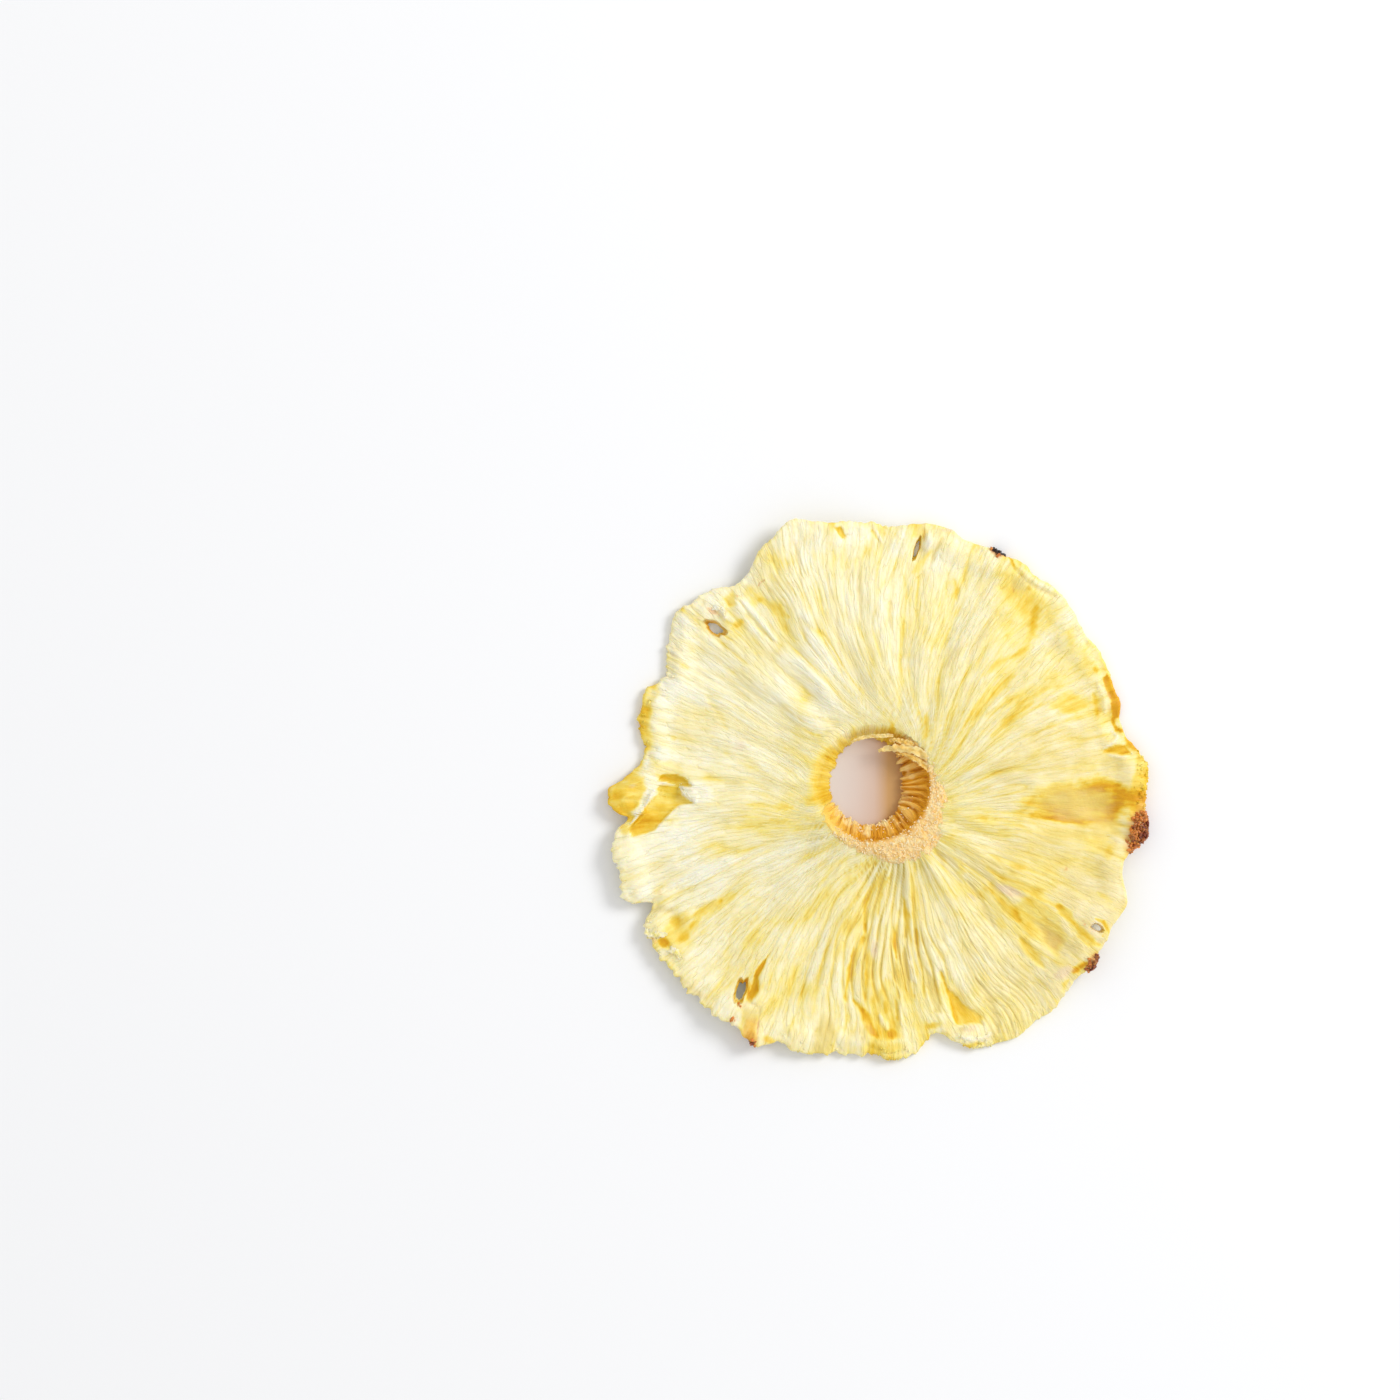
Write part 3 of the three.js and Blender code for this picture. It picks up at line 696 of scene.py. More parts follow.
@dataclass(frozen=True)
class RingForm:
    """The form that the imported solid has, from the same driving sizes."""

    core_x: float = -1.65
    core_y: float = 0.85
    rim_radius: float = 41.4
    foot_radius: float = 6.3
    foot_oval: float = 0.5
    foot_wave: float = 0.25
    mouth_radius: float = 7.4
    mouth_flare: float = 2.3
    flare_angle: float = -25.0
    collar_height: float = 3.2
    collar_rise: float = 1.1
    collar_width: float = 0.9
    collar_swell: float = 3.1
    shoulder_angle: float = -48.0
    shoulder_spread: float = 34.0
    shoulder_proud: float = 0.85
    mouth_slump: float = 1.1
    shoulder_fall: float = 0.9
    wrap_from: float = 0.47
    wrap_fade: float = 0.14
    seat: float = 2.6
    flesh_thickness: float = 2.2
    edge_thickness: float = 1.3
    thinnest: float = 0.45
    hollow: float = 0.7
    hollow_share: float = 0.87
    climb_reach: float = 5.0
    edge_round: float = 0.35
    tatter: float = 0.45
    tatter_step: float = 5.0
    crest: float = 0.41
    crest_spread: float = 0.34
    crest_step: float = 15.0
    crest_inset: float = 2.6
    crest_half_width: float = 2.9
    curl_mean: float = 0.9
    curl_growth: float = 1.6
    pleat: float = 0.45
    pleat_under: float = 0.27
    pleat_step: float = 8.0
    pleat_length: float = 14.0
    swirl: float = 22.0
    swirl_angle: float = 55.0
    swirl_start: float = 10.4
    swirl_reach: float = 8.0

    # Broad lobes of the outline: how many, how tall, and where they point.
    lobes: tuple = ((1, 2.72, -39.0), (2, 0.93, 81.5), (3, 1.0, -28.0))
    # Bulges and nicks in the rim: angle, half width, height.
    rim_features: tuple = (
        (3, 7, 1.1), (12, 6, -1.3), (46, 14, 0.7), (66, 6, -1.3), (88, 17, -1.3), (107, 8, 1.9),
        (121, 8, -2.0), (138, 12, 2.3), (151, 6, -1.5), (159, 5, 1.0), (173, 10, -2.6), (183, 6, 1.9),
        (188.5, 2.5, -1.3), (199, 14, 1.3), (209.5, 3.5, -2.8), (226, 12, 0.6), (246, 6, 2.0),
        (269, 10, -0.7), (285, 7, -2.6), (303, 16, 1.6), (321, 3, 0.9), (342, 8, -2.0), (350, 5, 1.0),
    )
    # Waves of the curl: how many, how tall, and where they peak.
    curls: tuple = ((3, 1.35, 102.0), (5, 0.8, 40.0), (8, 0.45, 12.0))
    # Sunken eyes: angle, distance, half width, half length, depth.
    eyes: tuple = (
        (14, 39.0, 4.2, 2.0, 0.8), (46, 35.0, 3.0, 5.0, 0.6), (78, 37.6, 1.8, 3.0, 0.9),
        (94, 38.4, 3.2, 1.7, 0.5), (122, 33.5, 3.0, 4.0, 0.6), (134, 34.0, 2.4, 2.6, 0.8),
        (182, 30.6, 3.4, 3.6, 1.2), (216, 37.4, 2.8, 3.0, 0.7), (240, 37.4, 2.2, 3.8, 0.9),
        (273, 36.0, 4.2, 4.8, 0.7), (292, 36.6, 2.6, 4.4, 0.9), (320, 35.0, 3.6, 6.5, 0.7),
        (354, 36.0, 3.8, 5.0, 0.8),
    )
    # Hard browned tips: angle, distance, half width, height.
    knobs: tuple = (
        (60.5, 41.6, 1.3, 0.7), (246, 43.2, 1.7, 0.6), (321.5, 44.4, 1.5, 0.8), (350, 42.4, 2.6, 1.2),
    )

    def place(self, angle: Field, radius: Field, height: Field) -> np.ndarray:
        """Returns the places given by their angle, distance from the core and height."""
        turn = np.radians(angle)
        x, y = self.core_x + radius * np.cos(turn), self.core_y + radius * np.sin(turn)
        return np.stack(np.broadcast_arrays(x, y, height), axis=-1)

    def polar(self, points: np.ndarray) -> tuple:
        """Returns the angle and distance from the core of each place."""
        dx, dy = points[:, 0] - self.core_x, points[:, 1] - self.core_y
        return np.mod(np.degrees(np.arctan2(dy, dx)), 360.0), np.hypot(dx, dy)

    def share_out(self, radius: Field, rim: Field, ring: Collar) -> Field:
        """Returns how far from the collar's heel to the rim each place lies, from 0 to 1."""
        return np.clip((radius - ring.heel) / (rim - ring.heel), 0.0, 1.0)

    def rim(self, angle: Field) -> Field:
        """Returns the distance from the core's axis to the rim."""
        radius = np.full_like(angle, self.rim_radius)
        for count, height, towards in self.lobes:
            radius += height * np.cos(np.radians(count * (angle - towards)))
        for middle, half_width, height in self.rim_features:
            radius += height * bump(turn_between(middle, angle) / half_width)
        return radius + self.tatter * noise(angle, round(360 / self.tatter_step), seed=1)

    def collar(self, angle: Field) -> Collar:
        """Returns where the collar starts and ends, and how its top lies."""
        foot = self.foot_radius - self.foot_oval * np.cos(np.radians(2.0 * angle))
        foot = foot + self.foot_wave * noise(angle, 12, seed=2)
        mouth = self.mouth_radius + self.mouth_flare * facing(angle, self.flare_angle)
        spread = turn_between(self.shoulder_angle, angle) / self.shoulder_spread
        shoulder = mouth + self.collar_width + self.collar_swell * np.exp(-(spread**2))
        lean = facing(angle, self.shoulder_angle)
        return Collar(
            foot=foot,
            mouth=mouth,
            shoulder=shoulder,
            heel=foot + self.seat,
            start=shoulder + self.shoulder_fall,
            height=self.collar_height + self.collar_rise * facing(angle, self.flare_angle),
            proud=self.shoulder_proud * lean * lean,
            slump=self.mouth_slump * (1.0 - lean),
        )

    def wraps(self, angle: Field) -> Field:
        """Returns 1 where the flesh itself lines the hole, and 0 where the core's collar shows."""
        return smooth((self.wrap_from - facing(angle, self.shoulder_angle)) / self.wrap_fade)

    def wall(self, ring: Collar) -> list:
        """Returns the (radius, height) knots of the hole's wall, from the foot up to the shoulder."""
        return [
            (ring.foot, np.zeros_like(ring.foot)),
            (ring.foot + 0.15, ring.lip * 0.3),
            (mix(ring.foot, ring.mouth, 0.7), ring.lip * 0.7),
            (ring.mouth, ring.lip),
            (mix(ring.mouth, ring.shoulder, 0.5), mix(ring.lip, ring.height, 0.65)),
        ]

    def fibre_angle(self, angle: Field, radius: Field) -> Field:
        """Returns the direction in which the fold through each place finally runs."""
        reach = np.exp(-(radius - self.swirl_start) / self.swirl_reach)
        sway = np.cos(np.radians(angle - self.swirl_angle)) * np.minimum(1.0, reach)
        return angle + self.swirl * sway

    def lift(self, angle: Field, share: Field) -> Field:
        """Returns how high the curl carries the flesh's underside."""
        curl = self.curl_mean
        for count, height, towards in self.curls:
            curl = curl + height * np.cos(np.radians(count * (angle - towards)))
        arch = self.hollow * np.sin(np.pi * np.minimum(1.0, share / self.hollow_share))
        return np.maximum(0.0, arch + curl * share**self.curl_growth)

    def pleats(self, angle: Field, radius: Field, share: Field) -> Field:
        """Returns the folds' height, from -1 to 1."""
        run = self.fibre_angle(angle, radius)
        fold = noise(run, round(360 / self.pleat_step), radius, self.pleat_length, 3)
        return fold * smooth(share * 4.0)

    def eye_depth(self, angle: Field, radius: Field) -> Field:
        """Returns how deep the eyes sink."""
        depth = np.zeros_like(angle)
        for middle, distance, half_width, half_length, deep in self.eyes:
            across = np.radians(turn_between(middle, angle)) * radius / half_width
            along = (radius - distance) / half_length
            depth = np.maximum(depth, deep * bump(np.hypot(across, along)))
        return depth

    def knob_height(self, angle: Field, radius: Field) -> Field:
        """Returns how high the browned tips stand."""
        height = np.zeros_like(angle)
        for middle, distance, half_width, tall in self.knobs:
            across = np.radians(turn_between(middle, angle)) * radius
            height += tall * bump(np.hypot(across, radius - distance) / half_width)
        return height

    def bead(self, angle: Field, radius: Field, rim: Field) -> Field:
        """Returns the height of the bead along the rim."""
        height = self.crest + self.crest_spread * noise(angle, round(360 / self.crest_step), seed=4)
        return height * bump((rim - self.crest_inset - radius) / self.crest_half_width)

    def underside(self, angle: Field, radius: Field, share: Field) -> Field:
        """Returns the height of the underside."""
        carried = self.lift(angle, share)
        folds = self.pleat_under * self.pleats(angle, radius, share)
        return np.maximum(0.0, carried + folds * np.clip(carried * 2.0, 0.0, 1.0))

    def thickness(self, angle: Field, radius: Field, share: Field, rim: Field, ring: Collar) -> Field:
        """Returns the flesh's thickness, without the browned tips.

        Args:
            angle: Degrees round the core.
            radius: Millimetres from the core's axis.
            share: How far out each place lies, from 0 to 1.
            rim: The distance to the rim at those angles.
            ring: The collar at those angles.

        Returns:
            Millimetres.
        """
        bare = mix(self.flesh_thickness, self.edge_thickness, smooth(share))
        root = ring.height - ring.proud - self.flesh_thickness
        climb = root * np.exp(-(radius - ring.start) / self.climb_reach)
        relief = self.pleat * self.pleats(angle, radius, share) + self.bead(angle, radius, rim)
        return bare + climb + relief - self.eye_depth(angle, radius)


# ---- Node trees ----

# What feeds an input: a value, or another node's output.
Feed = float | tuple | bpy.types.NodeSocket


@dataclass
class NodeKit:
    """Adds nodes to one tree and feeds their inputs."""

    tree: bpy.types.NodeTree

    def add(self, kind: str, inputs: dict | None = None, **settings) -> bpy.types.Node:
        """Adds a node.

        Args:
            kind: The node's type.
            inputs: Values or sockets by the input's name or number.
            settings: The node's own properties.

        Returns:
            The new node.
        """
        node = self.tree.nodes.new(kind)
        for name, value in settings.items():
            setattr(node, name, value)
        for key, value in (inputs or {}).items():
            if isinstance(value, bpy.types.NodeSocket):
                self.tree.links.new(value, node.inputs[key])
            else:
                node.inputs[key].default_value = value
        return node

    def math(self, operation: str, a: Feed, b: Feed = 0.0, c: Feed = 0.0) -> bpy.types.NodeSocket:
        """Adds a maths node and returns its output."""
        return self.add("ShaderNodeMath", {0: a, 1: b, 2: c}, operation=operation).outputs[0]

    def spread(self, value: Feed, low: float, high: float, start: float = 0.0, end: float = 1.0) -> Feed:
        """Returns the value with its range from low to high stretched over start to end."""
        return self.add("ShaderNodeMapRange", {"Value": value, 1: low, 2: high, 3: start, 4: end}).outputs[0]

    def blend(self, share: Feed, a: Feed, b: Feed) -> bpy.types.NodeSocket:
        """Adds a colour mix and returns its output."""
        return self.add("ShaderNodeMix", {0: share, 6: a, 7: b}, data_type="RGBA").outputs[2]

    def speckle(self, place: Feed, scale: float, detail: float) -> bpy.types.NodeSocket:
        """Adds noise in all directions and returns its strength."""
        given = {"Vector": place, "Scale": scale, "Detail": detail}
        return self.add("ShaderNodeTexNoise", given).outputs["Fac"]

    def ramp(self, value: Feed, stops: tuple) -> bpy.types.NodeSocket:
        """Adds a colour ramp with (place, colour) stops and returns its colour."""
        node = self.add("ShaderNodeValToRGB", {0: value})
        places = node.color_ramp.elements
        while len(places) < len(stops):
            places.new(0.5)
        for element, (place, colour) in zip(places, stops):
            element.position = place
            element.color = colour
        return node.outputs[0]

    def mask(self, name: str) -> bpy.types.NodeSocket:
        """Adds a reader of one of the mesh's own values from 0 to 1 and returns its output."""
        return self.add("ShaderNodeAttribute", attribute_name=name).outputs["Fac"]

    def fibres(self, streaks: bpy.types.NodeTree, scale: float) -> bpy.types.NodeOutputs:
        """Places the group that draws fine streaks along the fibres, and returns its outputs by name."""
        grain = self.add("ShaderNodeAttribute", attribute_name="grain").outputs["Vector"]
        return self.add("ShaderNodeGroup", {"Grain": grain, "Scale": scale}, node_tree=streaks).outputs


def linear(red: int, green: int, blue: int) -> tuple:
    """Turns a display colour of 0 to 255 into the scene's linear colour."""
    parts = [c / 255.0 for c in (red, green, blue)]
    return (*[c / 12.92 if c <= 0.04045 else ((c + 0.055) / 1.055) ** 2.4 for c in parts], 1.0)


def streak_group() -> bpy.types.NodeTree:
    """Builds the group that draws fine streaks along the fibres.

    Returns:
        A shader group with the inputs Grain and Scale and the outputs Streak, Fleck and Crease.
    """
    tree = bpy.data.node_groups.new("fibre_streaks", "ShaderNodeTree")
    tree.interface.new_socket("Grain", in_out="INPUT", socket_type="NodeSocketVector")
    tree.interface.new_socket("Scale", in_out="INPUT", socket_type="NodeSocketFloat")
    for name in ("Streak", "Fleck", "Crease"):
        tree.interface.new_socket(name, in_out="OUTPUT", socket_type="NodeSocketFloat")
    kit = NodeKit(tree)
    given = kit.add("NodeGroupInput")
    result = kit.add("NodeGroupOutput")
    grain, scale = given.outputs["Grain"], given.outputs["Scale"]
    fine = {"Vector": grain, "Scale": scale, "Detail": 4.0, "Roughness": 0.6}
    streak = kit.add("ShaderNodeTexNoise", fine).outputs["Fac"]
    broad = {"Vector": grain, "Scale": kit.math("MULTIPLY", scale, 0.3), "Detail": 3.0}
    fleck = kit.add("ShaderNodeTexNoise", broad).outputs["Fac"]
    tree.links.new(kit.spread(streak, 0.3, 0.7), result.inputs["Streak"])
    tree.links.new(kit.spread(fleck, 0.3, 0.7), result.inputs["Fleck"])
    lined = {"Vector": grain, "Scale": kit.math("MULTIPLY", scale, 0.62), "Detail": 2.0, "Roughness": 0.45}
    line = kit.add("ShaderNodeTexNoise", lined).outputs["Fac"]
    away = kit.math("ABSOLUTE", kit.math("SUBTRACT", line, 0.5))
    tree.links.new(kit.spread(away, 0.0, 0.045, 1.0, 0.0), result.inputs["Crease"])
    return tree


# ---- Finishes ----


@dataclass(frozen=True)
class Finish:
    """What every finish here shares: a soft skin that light sinks into."""

    name: str
    roughness: float = 0.5
    depth: float = 0.4
    reach: float = 0.0006
    shine: float = 0.35

    def start(self) -> tuple:
        """Starts the material.

        Returns:
            The material, its node kit and its shader.
        """
        made = bpy.data.materials.new(self.name)
        made.use_nodes = True
        shader = made.node_tree.nodes["Principled BSDF"]
        shader.inputs["Roughness"].default_value = self.roughness
        shader.inputs["Subsurface Weight"].default_value = self.depth
        shader.inputs["Subsurface Radius"].default_value = (1.0, 0.8, 0.45)
        shader.inputs["Subsurface Scale"].default_value = self.reach
        shader.inputs["Specular IOR Level"].default_value = self.shine
        return made, NodeKit(made.node_tree), shader

    def join(self, kit: NodeKit, shader: bpy.types.Node, colour: Feed, height: Feed, relief: tuple) -> None:
        """Joins a colour and a fine relief, of a strength and a size, to the shader."""
        strength, size = relief
        relief = kit.add("ShaderNodeBump", {"Strength": strength, "Distance": size, "Height": height})
        kit.tree.links.new(colour, shader.inputs["Base Color"])
        kit.tree.links.new(relief.outputs["Normal"], shader.inputs["Normal"])


RIPENESS = (
    (0.0, linear(253, 248, 226)),
    (0.2, linear(251, 241, 202)),
    (0.4, linear(247, 233, 170)),
    (0.55, linear(246, 227, 134)),
    (0.7, linear(240, 211, 92)),
    (0.82, linear(234, 196, 54)),
    (0.92, linear(228, 179, 22)),
    (1.0, linear(219, 160, 6)),
)


@dataclass(frozen=True)
class FleshFinish(Finish):
    """Dried flesh: from ivory to amber as it ripens, with rosy, dull and browned places. The dull tone, and
    in part the rosy one, also paints shade into creases, grooves and hollows.
    """

    name: str = "dried_flesh"
    fibre_scale: float = 9.0
    rose: tuple = linear(236, 214, 182)
    dull_and_shade: tuple = linear(225, 206, 134)
    scorched: tuple = linear(224, 142, 56)
    brown: tuple = linear(140, 68, 24)
    toast: tuple = linear(206, 130, 60)
    char: tuple = linear(52, 30, 20)

    def material(self, streaks: bpy.types.NodeTree) -> bpy.types.Material:
        """Builds the material.

        Args:
            streaks: The group that draws fine streaks.

        Returns:
            The finished material.
        """
        made, kit, shader = self.start()
        lines = kit.fibres(streaks, self.fibre_scale)
        place = kit.add("ShaderNodeTexCoord").outputs["Object"]
        cloud = kit.speckle(place, 420.0, 5.0)
        grit = kit.speckle(place, 2400.0, 3.0)
        streak, fleck, crease = (lines[name] for name in ("Streak", "Fleck", "Crease"))

        ripe = kit.mask(Tone.RIPE.value)
        ripe = kit.math("ADD", ripe, kit.spread(streak, 0.0, 1.0, -0.09, 0.09))
        ripe = kit.math("ADD", ripe, kit.spread(fleck, 0.0, 1.0, -0.06, 0.06))
        ripe = kit.math("ADD", ripe, kit.spread(cloud, 0.3, 0.7, -0.07, 0.07))
        lively = kit.mask("lively")
        crease = kit.math("MULTIPLY", crease, lively)
        ripe = kit.math("MULTIPLY_ADD", crease, 0.07, ripe)
        colour = kit.ramp(ripe, RIPENESS)
        # The dull tone, partly painted shade, broken up by clouds.
        dull_and_shade = kit.math("MULTIPLY", kit.mask(Tone.DULL_AND_SHADE.value), kit.spread(cloud, 0.3, 0.6, 0.5, 0.9))
        colour = kit.blend(dull_and_shade, colour, self.dull_and_shade)
        colour = kit.blend(kit.mask(Tone.ROSE.value), colour, self.rose)
        browned = kit.mask(Tone.BROWN.value)
        burnt = kit.blend(kit.spread(grit, 0.4, 0.6), self.brown, self.toast)
        burnt = kit.blend(kit.spread(browned, 0.35, 0.75), self.scorched, burnt)
        burnt = kit.blend(kit.spread(browned, 0.86, 1.0), burnt, self.char)
        colour = kit.blend(browned, colour, burnt)
        lined = kit.math("MULTIPLY", streak, kit.spread(lively, 0.0, 1.0, 0.4, 1.0))
        height = kit.math("MULTIPLY_ADD", grit, 0.35, lined)
        height = kit.math("MULTIPLY_ADD", crease, -0.55, height)
        self.join(kit, shader, colour, height, (0.7, 0.2 * MM))
        return made


@dataclass(frozen=True)
class CoreFinish(Finish):
    """The dried core: a warm granular top, and an amber wall with paler pleats."""

    name: str = "dried_core"
    fibre_scale: float = 12.0
    roughness: float = 0.6
    shine: float = 0.22
    pale: tuple = linear(254, 228, 172)
    tan: tuple = linear(243, 196, 112)
    amber: tuple = linear(232, 168, 34)
    deep: tuple = linear(184, 108, 2)
    pleat: tuple = linear(246, 206, 120)
    lace: tuple = linear(252, 228, 166)
    gold: tuple = linear(250, 214, 104)

    def material(self, streaks: bpy.types.NodeTree) -> bpy.types.Material:
        """Builds the material.

        Args:
            streaks: The group that draws fine streaks.

        Returns:
            The finished material.
        """
        made, kit, shader = self.start()
        streak = kit.fibres(streaks, self.fibre_scale)["Streak"]
        place = kit.add("ShaderNodeTexCoord").outputs["Object"]
        cloud = kit.speckle(place, 700.0, 3.0)
        grit = kit.speckle(place, 2200.0, 2.0)
        top = kit.blend(kit.spread(kit.math("ADD", grit, cloud), 0.8, 1.2), self.tan, self.pale)
        mottle = kit.spread(kit.math("ADD", streak, cloud), 0.55, 1.2)
        wall = kit.blend(mottle, self.deep, self.amber)
        pleats = kit.math("POWER", kit.mask("pleat"), 2.0)
        wall = kit.blend(kit.math("MULTIPLY", pleats, 0.7), wall, self.pleat)
        colour = kit.blend(kit.mask("wall"), top, wall)
        golden = kit.math("MULTIPLY", kit.mask("gold"), 0.85)
        colour = kit.blend(golden, colour, self.gold)
        lace = kit.math("MULTIPLY", kit.mask("lace"), kit.spread(cloud, 0.35, 0.6))
        colour = kit.blend(lace, colour, self.lace)
        self.join(kit, shader, colour, kit.math("ADD", grit, streak), (0.45, 0.14 * MM))
        return made


@dataclass(frozen=True)
class CrumbFinish(Finish):
    """Crumbs, wisps and torn skin, each with its own tint between two colours."""

    name: str = "crumbs"
    pale: tuple = linear(252, 246, 222)
    rich: tuple = linear(246, 214, 120)
    char: tuple = linear(40, 26, 20)
    darkens: float = 0.0

    def material(self) -> bpy.types.Material:
        """Builds the material."""
        made, kit, shader = self.start()
        grit = kit.speckle(kit.add("ShaderNodeTexCoord").outputs["Object"], 2600.0, 2.0)
        tint = kit.math("ADD", kit.mask("tint"), kit.spread(grit, 0.3, 0.7, -0.2, 0.2))
        browned = kit.mask(Tone.BROWN.value)
        tint = kit.math("ADD", tint, kit.spread(browned, 0.55, 0.9, -self.darkens, self.darkens))
        colour = kit.blend(tint, self.pale, self.rich)
        charred = kit.spread(browned, 0.9, 0.97)
        colour = kit.blend(charred, colour, self.char)
        self.join(kit, shader, colour, grit, (0.4, 0.08 * MM))
        return made


CORE_CRUMBS = CrumbFinish("core_crumbs", depth=0.2, pale=linear(255, 239, 200), rich=linear(250, 209, 138))
MEMBRANE = CrumbFinish("core_membrane", pale=linear(252, 228, 160), rich=linear(232, 178, 74))
GRIT = CrumbFinish(
    "browned_grit", 0.34, shine=0.5, pale=linear(222, 134, 56), rich=linear(116, 44, 18), darkens=0.45
)


# ---- The pieces ----

# The radius of the circle that the streaks' pattern wraps on, and how little it changes along a fibre.
GRAIN_ROUND, GRAIN_ALONG = 6.0, 0.035


def settle(piece: bpy.types.Object) -> None:
    """Turns a piece and its modifiers into a plain mesh."""
    graph = bpy.context.evaluated_depsgraph_get()
    made = bpy.data.meshes.new_from_object(piece.evaluated_get(graph))
    piece.modifiers.clear()
    piece.data = made


def link(name: str, points: np.ndarray, faces: list) -> bpy.types.Object:
    """Adds an object to the scene from points in millimetres and faces."""
    mesh = bpy.data.meshes.new(name)
    mesh.from_pydata(points * MM, [], faces)
    mesh.validate()
    piece = bpy.data.objects.new(name, mesh)
    bpy.context.scene.collection.objects.link(piece)
    return piece


def stamp(mesh: bpy.types.Mesh, values: dict) -> None:
    """Writes named values from 0 to 1, one for each vertex."""
    for name, value in values.items():
        layer = mesh.attributes.new(name, "FLOAT", "POINT")
        layer.data.foreach_set("value", np.clip(value, 0.0, 1.0).astype(np.float32))


def stamp_grain(mesh: bpy.types.Mesh, run: np.ndarray, distance: np.ndarray) -> None:
    """Writes where each vertex lies along the fibres, for streaks that wrap without a seam."""
    turn = np.radians(run)
    x, y = GRAIN_ROUND * np.cos(turn), GRAIN_ROUND * np.sin(turn)
    grain = np.stack([x, y, distance * GRAIN_ALONG], axis=1)
    layer = mesh.attributes.new("grain", "FLOAT_VECTOR", "POINT")
    layer.data.foreach_set("vector", grain.astype(np.float32).ravel())


def places_of(mesh: bpy.types.Mesh) -> np.ndarray:
    """Returns the mesh's vertices in millimetres."""
    co = np.empty(len(mesh.vertices) * 3)
    mesh.vertices.foreach_get("co", co)
    return co.reshape(-1, 3) / MM


def inside_box(points: np.ndarray) -> np.ndarray:
    """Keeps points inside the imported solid's box."""
    low, high = (np.array(corner) / MM for corner in CAD_BOX)
    return np.clip(points, low, high)


def dress(piece: bpy.types.Object, material: bpy.types.Material) -> None:
    """Gives a piece its material and its body, and hides the imported solid that it stands for."""
    piece.data.materials.clear()
    piece.data.materials.append(material)
    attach(piece, BODY)
    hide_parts(NODE)
    count = sum(len(face.vertices) - 2 for face in piece.data.polygons)
    log.info("%s: %d triangles", piece.name, count)


def quad_rows(start: int, rows: int, columns: int) -> np.ndarray:
    """Returns the faces between rows of a grid that closes on itself sideways."""
    i = np.arange(columns)
    n = (i + 1) % columns
    faces = []
    for j in range(rows - 1):
        a, b = start + j * columns, start + (j + 1) * columns
        faces.append(np.stack([a + i, b + i, b + n, a + n], 1))
    return np.concatenate(faces)


def seam(fine_start: int, coarse_start: int, coarse: int, every: int, fine_first: bool) -> list:
    """Returns the faces that join a fine row to a coarse one.

    Args:
        fine_start: The first vertex of the fine row.
        coarse_start: The first vertex of the coarse row.
        coarse: How many vertices the coarse row has.
        every: How many fine vertices there are for each coarse one.
        fine_first: Whether the fine row comes before the coarse one in the skin.

    Returns:
        The faces.
    """
    faces = []
    fine = coarse * every
    c = np.arange(coarse)
    u, v = coarse_start + c, coarse_start + (c + 1) % coarse
    f = [fine_start + (c * every + k) % fine for k in range(every + 1)]
    half = (every + 1) // 2
    for k in range(every):
        apex = u if k < half else v
        faces.append(np.stack([f[k], apex, f[k + 1]], 1))
    faces.append(np.stack([f[half], u, v], 1))
    joined = np.concatenate(faces)
    return (joined if fine_first else joined[:, ::-1]).tolist()


@dataclass(frozen=True)
class Wrinkle:
    """One size of wrinkle along the fibres: how many in a turn, how long, how tall, how it shows."""

    count: int
    length: float
    height: float
    crease: float
    seed: int


@dataclass(frozen=True)
class Ridges:
    """A stretch of strong parallel ridges: where it lies, between which distances, how tall and fine."""

    middle: float
    half_width: float
    first: float
    last: float
    gain: float
    fineness: float

    def at(self, angle: Field, radius: Field) -> Field:
        """Returns a share from 0 to 1, which falls off steeply at the stretch's edges."""
        here = bump(turn_between(self.middle, angle) / self.half_width) ** 0.6
        return here * smooth((radius - self.first) / 3.0 + 0.5) * smooth((self.last - radius) / 4.0 + 0.5)


